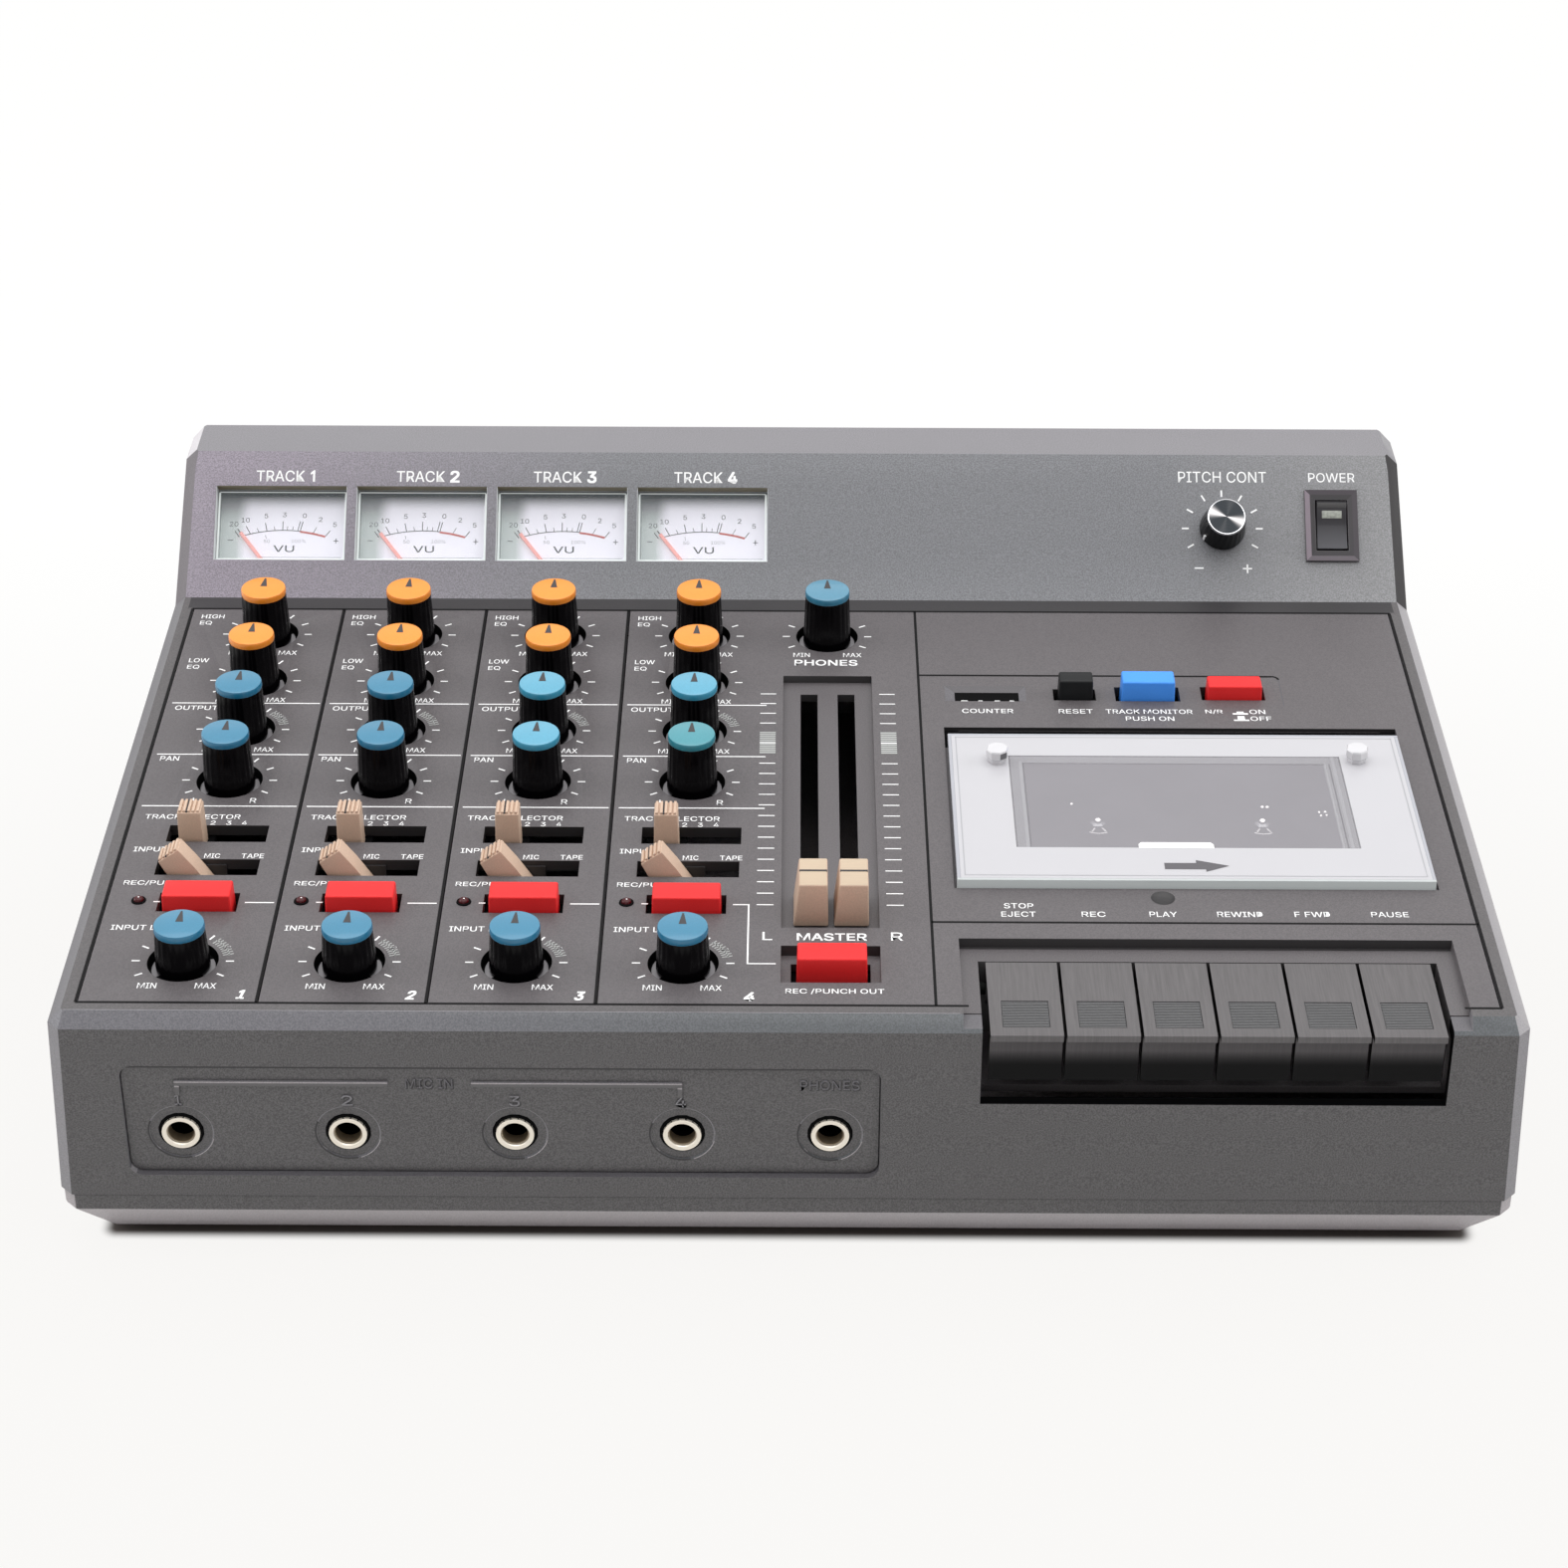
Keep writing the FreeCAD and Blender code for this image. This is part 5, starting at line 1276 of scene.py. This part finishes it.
def meters():
    dial = dial_finish()
    body = Draft()
    face = Draft()
    glass = Draft()
    clear = Finish("clear_window", Base_Color=srgb(235, 240, 240), Roughness=0.03, Alpha=0.07,
                   Coat_Weight=0.2).material
    amber = plastic("meter_amber", (112, 104, 78), 0.4, 0.1)
    sill = plastic("meter_sill", (206, 210, 212), 0.3, 0.04)
    # Painted highlight: glowing light lines along the clear cases' edges.
    line = plastic("meter_case_edge", (226, 232, 230), 0.2, 0.03, Alpha=0.85,
                   Emission_Color=srgb(220, 226, 224), Emission_Strength=0.25)
    thin = plastic("meter_case_line", (120, 128, 128), 0.3, 0.05, Alpha=0.7)
    for index in range(CHANNELS):
        x = channel(index)
        glass.add(centred(x, 18.8, 39.2, 33.6, -4.1, -3.1), clear)
        face.line(x - 18.4, x + 18.4, 3.2, 34.4, dial, DIAL + 0.01)
        dial_print(face, x)
        for x0, x1, y0, y1, finish in ((-18.6, 18.6, 33.35, 33.48, amber), (-18.62, -18.5, 11.4, 33.4, sill),
                                       (18.5, 18.62, 11.4, 33.4, sill), (-18.6, 18.6, 11.32, 11.44, sill)):
            body.add(block(x + x0, x + x1, y0, y1, -3.0, -0.15), finish)
        for x0, x1, y0, y1, finish in (
                (-18.3, -17.8, 12.7, 32.4, line), (17.75, 18.3, 12.7, 32.4, line),
                (-17.9, 18.0, 32.4, 32.75, line), (-18.3, 18.3, 12.2, 12.7, line),
                (-17.6, -17.4, 13.0, 31.9, thin), (-6.0, 17.2, 12.95, 13.1, thin)):
            body.line(x + x0, x + x1, y0, y1, finish, PANE)
        needle = Draft()
        name = "ch%d_vu_needle" % (index + 1)
        lean = at(x, 5.8) @ turn(38)
        needle.add(tapered(0, 9.9, (1.1, 19.8), (0.9, 19.7), -6.1, -5.6), needle_red, lean)
        needle.add(tapered(0, 20.45, (0.3, 1.3), (0.26, 1.25), -6.0, -5.7), tan_mark, lean)
        needle.add(turned([(0, -6.5), (0.9, -6.5), (0.9, -5.1), (0, -5.1)], 20), needle_red, lean)
        needle.piece(name + "_blade", name, "needle_red", FACE, stands_for=name)
    face.piece("meter_dials", "housing", "meter_white", FACE)
    body.piece("meter_surrounds", "housing", "meter_white", FACE)
    glass.piece("meter_glasses", "housing", "clear_window", FACE, stands_for="meter_windows")


# ---------------------------------------------------------------- front sockets

def front_sockets():
    """Lathe-turned rings round the bores, and the raised marks over them."""
    profiles = (
        ([(3.25, -0.2), (3.3, 0.3), (3.5, 0.5), (4.3, 0.56), (4.55, 0.5), (4.63, 0.3), (4.63, -0.9),
          (3.25, -0.8), (3.25, -0.2)], 64, nickel),
        ([(3.24, -0.25), (3.28, -0.9), (3.2, -3.2), (3.05, -3.2), (3.1, -0.3), (3.24, -0.25)], 48,
         worn_brass),
        ([(4.6, -0.1), (5.15, -0.1), (5.25, -0.25), (5.25, -0.9), (4.6, -0.9), (4.6, -0.1)], 48, shade_black))
    rings = Draft()
    for x in sockets():
        front = forward(x, SOCKET_HEIGHT)
        for profile, steps, finish in profiles:
            rings.add(turned(profile, steps), finish, front)
        # Painted shade along each dish's lower and left edge, and a painted highlight at its lower right.
        rings.add(arc(0, 0, 7.55, 7.98, 165, 295, 40, 0.02), case_shade_paint, front)
        rings.add(arc(0, 0, 7.75, 8.0, 105, 160, 20, 0.02), lower_lit_paint, front)
    rings.piece("socket_rings", "housing", "socket_nickel")
    marks = Draft()
    face = forward(0, 0)
    bars = [(x0, x1, -19.5, -18.2) for x0, x1 in ((-145.6, -94.9), (-75.1, -25.1))]
    bars += [(x0, x0 + 1.1, -22.4, -19.5) for x0 in (-145.6, -26.2)]
    for x0, x1, z0, z1 in bars:
        marks.add(thick(strip(x0, x1, z0, z1, -0.05), 0.65), relief_paint, face)
        # Painted highlight along each bar's upper edge, painted shadow under it.
        marks.add(strip(x0, x1, z1 - 0.4, z1, 0.62), lower_lit_paint, face)
        marks.add(strip(x0, x1, z0 - 0.45, z0), case_shade_paint, face)
    for text, x, y, cap, width, finish in (
            ("1", -146.0, -25.4, 3.0, 1.6, case_paint), ("2", -106.3, -25.4, 3.0, 2.7, case_paint),
            ("3", -66.4, -25.4, 3.0, 2.6, case_paint), ("4", -26.8, -25.4, 3.0, 2.5, case_paint),
            ("MIC IN", -90.8, -20.2, 2.8, 11.2, rim_paint), ("PHONES", 2.8, -20.2, 2.8, 14.2, rim_paint)):
        # Painted shadow: a dark copy of each raised word, set off to the right and down.
        marks.add(word(text, x + 0.15, y - 0.4, cap, width, z=0.01, weight=0.12), case_shade_paint, face)
        marks.add(thick(word(text, x, y, cap, width, z=-0.05, weight=0.0), 0.4), finish, face)
    # Painted light: the marks' upward faces take the lighter case paint.
    marks.repaint(case_paint, lambda n, m: n.z > 0.5)
    marks.piece("socket_panel_marks", "housing", "case_paint")
    lines = Draft()
    # Painted shade along the top of the socket recess.
    lines.add(strip(-157.6, 21.2, -14.6, -14.0), case_shade_paint, face)
    lines.piece("socket_panel_shade", "housing", "case_paint")


# ---------------------------------------------------------------- power and pitch

def spun_finish(centre):
    """Spun metal: fine rings, and painted highlights in sectors that fan out from the middle."""
    spun = Finish("spun_aluminium", Metallic=1.0)
    across, back, up = spun.axes()
    x = across - centre[0]
    y = (back - centre[1]) * math.cos(SLOPE) + (up - centre[2]) * math.sin(SLOPE)
    bearing = y.math("ARCTAN2", x)
    # Painted highlights: bright sectors in two opposite bearings, and weaker ones between.
    fan = ((bearing * 2.0 - 5.6).math("COSINE") * 0.5 + 0.5).math("POWER", 14.0)
    side = ((bearing * 4.0 + 1.2).math("COSINE") * 0.5 + 0.5).math("POWER", 4.0) * 0.03
    radius = (x * x + y * y).math("SQRT")
    rings = (radius * 14.0).math("SINE") * 0.012
    bright = (fan * 0.8 + side + rings).limited()
    spun.shade(Base_Color=spun.mix(bright, srgb(44, 47, 50), srgb(212, 208, 208)), Roughness=0.32 + rings)
    return spun.material


def pitch_knob():
    place = at(*PITCH)
    centre = FACE @ Vector((*PITCH, 10.4)) / MM
    piece = Draft()
    piece.add(fluted([(0.3, 6.3, 0), (0.45, 6.5, 0.0), (1.0, 6.5, 0.12), (9.6, 5.5, 0.12), (9.9, 5.4, 0.0)]),
              grip_black, place)
    piece.add(turned([(0, 9.6), (5.35, 9.6), (5.45, 9.9), (5.38, 10.25), (5.2, 10.42), (5.0, 10.38)], 72),
              steel, place)
    piece.add(turned([(5.05, 10.3), (5.0, 10.38), (0, 10.4)], 72), spun_finish(centre), place)
    piece.add(block(5.2, 6.66, -0.32, 0.32, 0.6, 3.6), white_ink, place @ turn(212))
    piece.piece("pitch_knob_turned", "pitch_knob", "knob_black", FACE, stands_for="pitch_knob")


def bezel_ring():
    """The rocker's frame: an outer and an inner slope on each side, drawn as flat bands of painted light and
    shade, mitred at the corners.
    """
    x, y = ROCKER
    piece = Draft()
    for side, sign, upright, outer, inner in (("left", -1, True, (128, 117, 126), 50),
                                              ("right", 1, True, (66, 61, 66), 58),
                                              ("top", 1, False, (62, 56, 62), 46),
                                              ("low", -1, False, (98, 91, 97), 56)):
        slopes = ((outer, (7.45, 10.6), (6.0, 9.15)),
                  ((inner, inner * 0.95, inner), (6.0, 9.15), (4.75, 7.75)))
        for part, (colour, near, far) in enumerate(slopes):
            # Each band's own tone is its painted light or shade.
            finish = plastic("bezel_%s_%d" % (side, part), colour, 0.35, 0.06, Specular_Ior_Level=0.25)
            ends = [(near, -1), (near, 1), (far, 1), (far, -1)]
            if upright:
                points = [(x + sign * a, y + end * b) for (a, b), end in ends]
            else:
                points = [(x + end * a, y + sign * b) for (a, b), end in ends]
            piece.mark(patch(points, 1.03), finish)
    piece.piece("rocker_bezel", "housing", "case_paint", FACE)


def rocker():
    dark = Finish("rocker_black", Roughness=0.35, Specular_Ior_Level=0.2)
    low = FACE @ Vector((ROCKER[0], 15.6, 1.0))
    # Painted light: the rocker is painted lighter towards its lower end.
    reach = ((dark.axes()[1] - low.y / MM) * (1 / 6.2)).limited()
    dark.shade(Base_Color=dark.mix(reach, srgb(100, 100, 104), srgb(36, 34, 38)))
    lamp = Finish("rocker_lamp", Roughness=0.3)
    lamp.shade(Base_Color=lamp.mix(lamp.flecks(0.7), srgb(134, 136, 130), srgb(164, 168, 158)))
    side = [(-7.0, 0.9), (0, 0.9), (6.9, 2.1), (5.2, -6.5), (-5.2, -6.5)]
    slope = at(*ROCKER, 0.9) @ turn(10, "X")
    piece = Draft()
    piece.add(outline(side, -4.25, 4.25, 0.25), dark.material, at(*ROCKER) @ turn(90) @ turn(90, "X"))
    piece.add(block(-2.8, 2.8, 2.0, 4.2, -0.3, 0.08, 0.1), lamp.material, slope)
    piece.add(block(-4.1, 4.1, 4.9, 6.5, -0.3, 0.05, 0.1), dark_and_shade_paint, slope)
    piece.piece("power_rocker_cap", "power_rocker", "knob_black", FACE, stands_for="power_rocker")


# ---------------------------------------------------------------- stage

def floor_finish():
    """White paper with a soft painted shadow, dark round the case's footprint."""
    paper = Finish("floor", Roughness=0.7)
    clouds = paper.noise(400.0, 2.0)
    x, y, z = paper.axes()
    beside = (x.math("ABSOLUTE") - (cad_box[1][0] / MM - 11)).math("MAXIMUM", 0.0)
    ahead = (y.math("ABSOLUTE") - (cad_box[1][1] / MM - 10)).math("MAXIMUM", 0.0)
    away = (beside * beside + ahead * ahead).math("SQRT")
    clear = ((away - 0.9) * (1 / 4.2)).limited()
    clear = clear * clear * (3.0 - clear * 2.0)
    lit = paper.mix(clouds, (0.80, 0.795, 0.785), (0.83, 0.825, 0.815))
    # Painted shadow: the paper goes dark round the case's footprint.
    paper.shade(Base_Color=paper.mix(clear, (0.13, 0.11, 0.1), lit))
    tint = paper.mix((y * (1 / 250.0)).limited(), (0.945, 0.935, 0.92), (1.0, 1.0, 0.995))
    white = paper.node("Emission", {}, {"Color": tint, "Strength": 1.0})
    shaded = Field(paper.tree, paper.shader.outputs[0])
    share = background_rays(paper.tree) * (clear * 0.96)
    mixed = paper.node("MixShader", {}, {0: share, 1: shaded, 2: white})
    feed(paper.tree, paper.tree.nodes["Material Output"].inputs["Surface"], mixed)
    return paper.material


def studio():
    """White to the eye and in mirrors; a soft light from the rear for the rest."""
    world = bpy.data.worlds.new("studio")
    bpy.context.scene.world = world
    world.use_nodes = True
    tree = world.node_tree
    sky = tree.nodes["Background"]
    aim = tree.nodes.new("ShaderNodeTexCoord")
    parts = tree.nodes.new("ShaderNodeSeparateXYZ")
    tree.links.new(aim.outputs["Generated"], parts.inputs[0])
    glow = 0.36 + ((Field(tree, parts.outputs[1]) + 0.3) * 0.9).limited() * 0.55
    seen = background_rays(tree)
    feed(tree, sky.inputs["Color"], (1, 1, 1))
    feed(tree, sky.inputs["Strength"], seen + (1.0 - seen) * glow)


def area_lamp(name, place, aim_at, width, height, watts):
    light = bpy.data.lights.new(name, "AREA")
    light.shape = "RECTANGLE"
    light.size = width
    light.size_y = height
    light.energy = watts
    holder = bpy.data.objects.new(name, light)
    holder.location = place
    holder.rotation_euler = (Vector(aim_at) - Vector(place)).to_track_quat("-Z", "Y").to_euler()
    bpy.context.scene.collection.objects.link(holder)


def stage():
    shape = bmesh.new()
    bmesh.ops.create_grid(shape, x_segments=1, y_segments=1, size=6.0)
    floor = show("floor", shape, [floor_finish()])
    floor.location = (0, 0, -0.0002)
    studio()
    area_lamp("overhead", (0.0, 0.0, 1.5), (0, 0, 0), 2.2, 2.0, 24)
    area_lamp("left", (-1.5, 0.1, 0.7), (0, 0, 0.05), 0.8, 1.0, 7)
    area_lamp("right", (1.5, 0.1, 0.7), (0, 0, 0.05), 0.8, 1.0, 7)


def camera():
    """The view: 80 mm on a 36 mm frame, looking down at 32.5 degrees."""
    pitch = math.radians(32.469)
    yaw = math.radians(-0.181)
    roll = math.radians(0.151)
    ahead = Vector((math.sin(yaw) * math.cos(pitch), math.cos(yaw) * math.cos(pitch), -math.sin(pitch)))
    right = Vector((math.cos(yaw), -math.sin(yaw), 0))
    up = right.cross(ahead)
    across = right * math.cos(roll) + up * math.sin(roll)
    above = up * math.cos(roll) - right * math.sin(roll)
    lens = bpy.data.cameras.new("camera")
    lens.lens = 80.0
    lens.sensor_width = 36.0
    lens.clip_start = 0.05
    lens.clip_end = 30.0
    view = bpy.data.objects.new("camera", lens)
    view.matrix_world = at(0.00092, -0.78489, 0.55427) @ Matrix((across, above, -ahead)).transposed().to_4x4()
    bpy.context.scene.collection.objects.link(view)
    bpy.context.scene.camera = view


def dress_rest():
    """Finishes for the CAD nodes that show as they are."""
    plain = {"rubber_feet": rubber, "tape_deck": slot_black, "jack_sockets": shade_black,
             "meter_bodies": plastic("meter_body", (190, 192, 190), 0.5, 0.04)}
    for node, finish in plain.items():
        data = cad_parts[node].data
        data.materials.clear()
        data.materials.append(finish)
    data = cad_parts["jack_sockets"].data
    data.materials.append(nickel)
    rear = max(v.co.y for v in data.vertices)
    for face in data.polygons:
        if face.normal.y > 0.9 and face.center.y > rear - 0.0003:
            face.material_index = 1


print_pieces()
case_pieces()
panel_pieces()
grooves()
counter_frame()
lamps()
knobs()
levers()
buttons()
faders()
keys()
lid()
deck_parts()
meters()
front_sockets()
pitch_knob()
bezel_ring()
rocker()
dress_rest()
stage()
camera()
bpy.context.scene.view_settings.view_transform = "Standard"
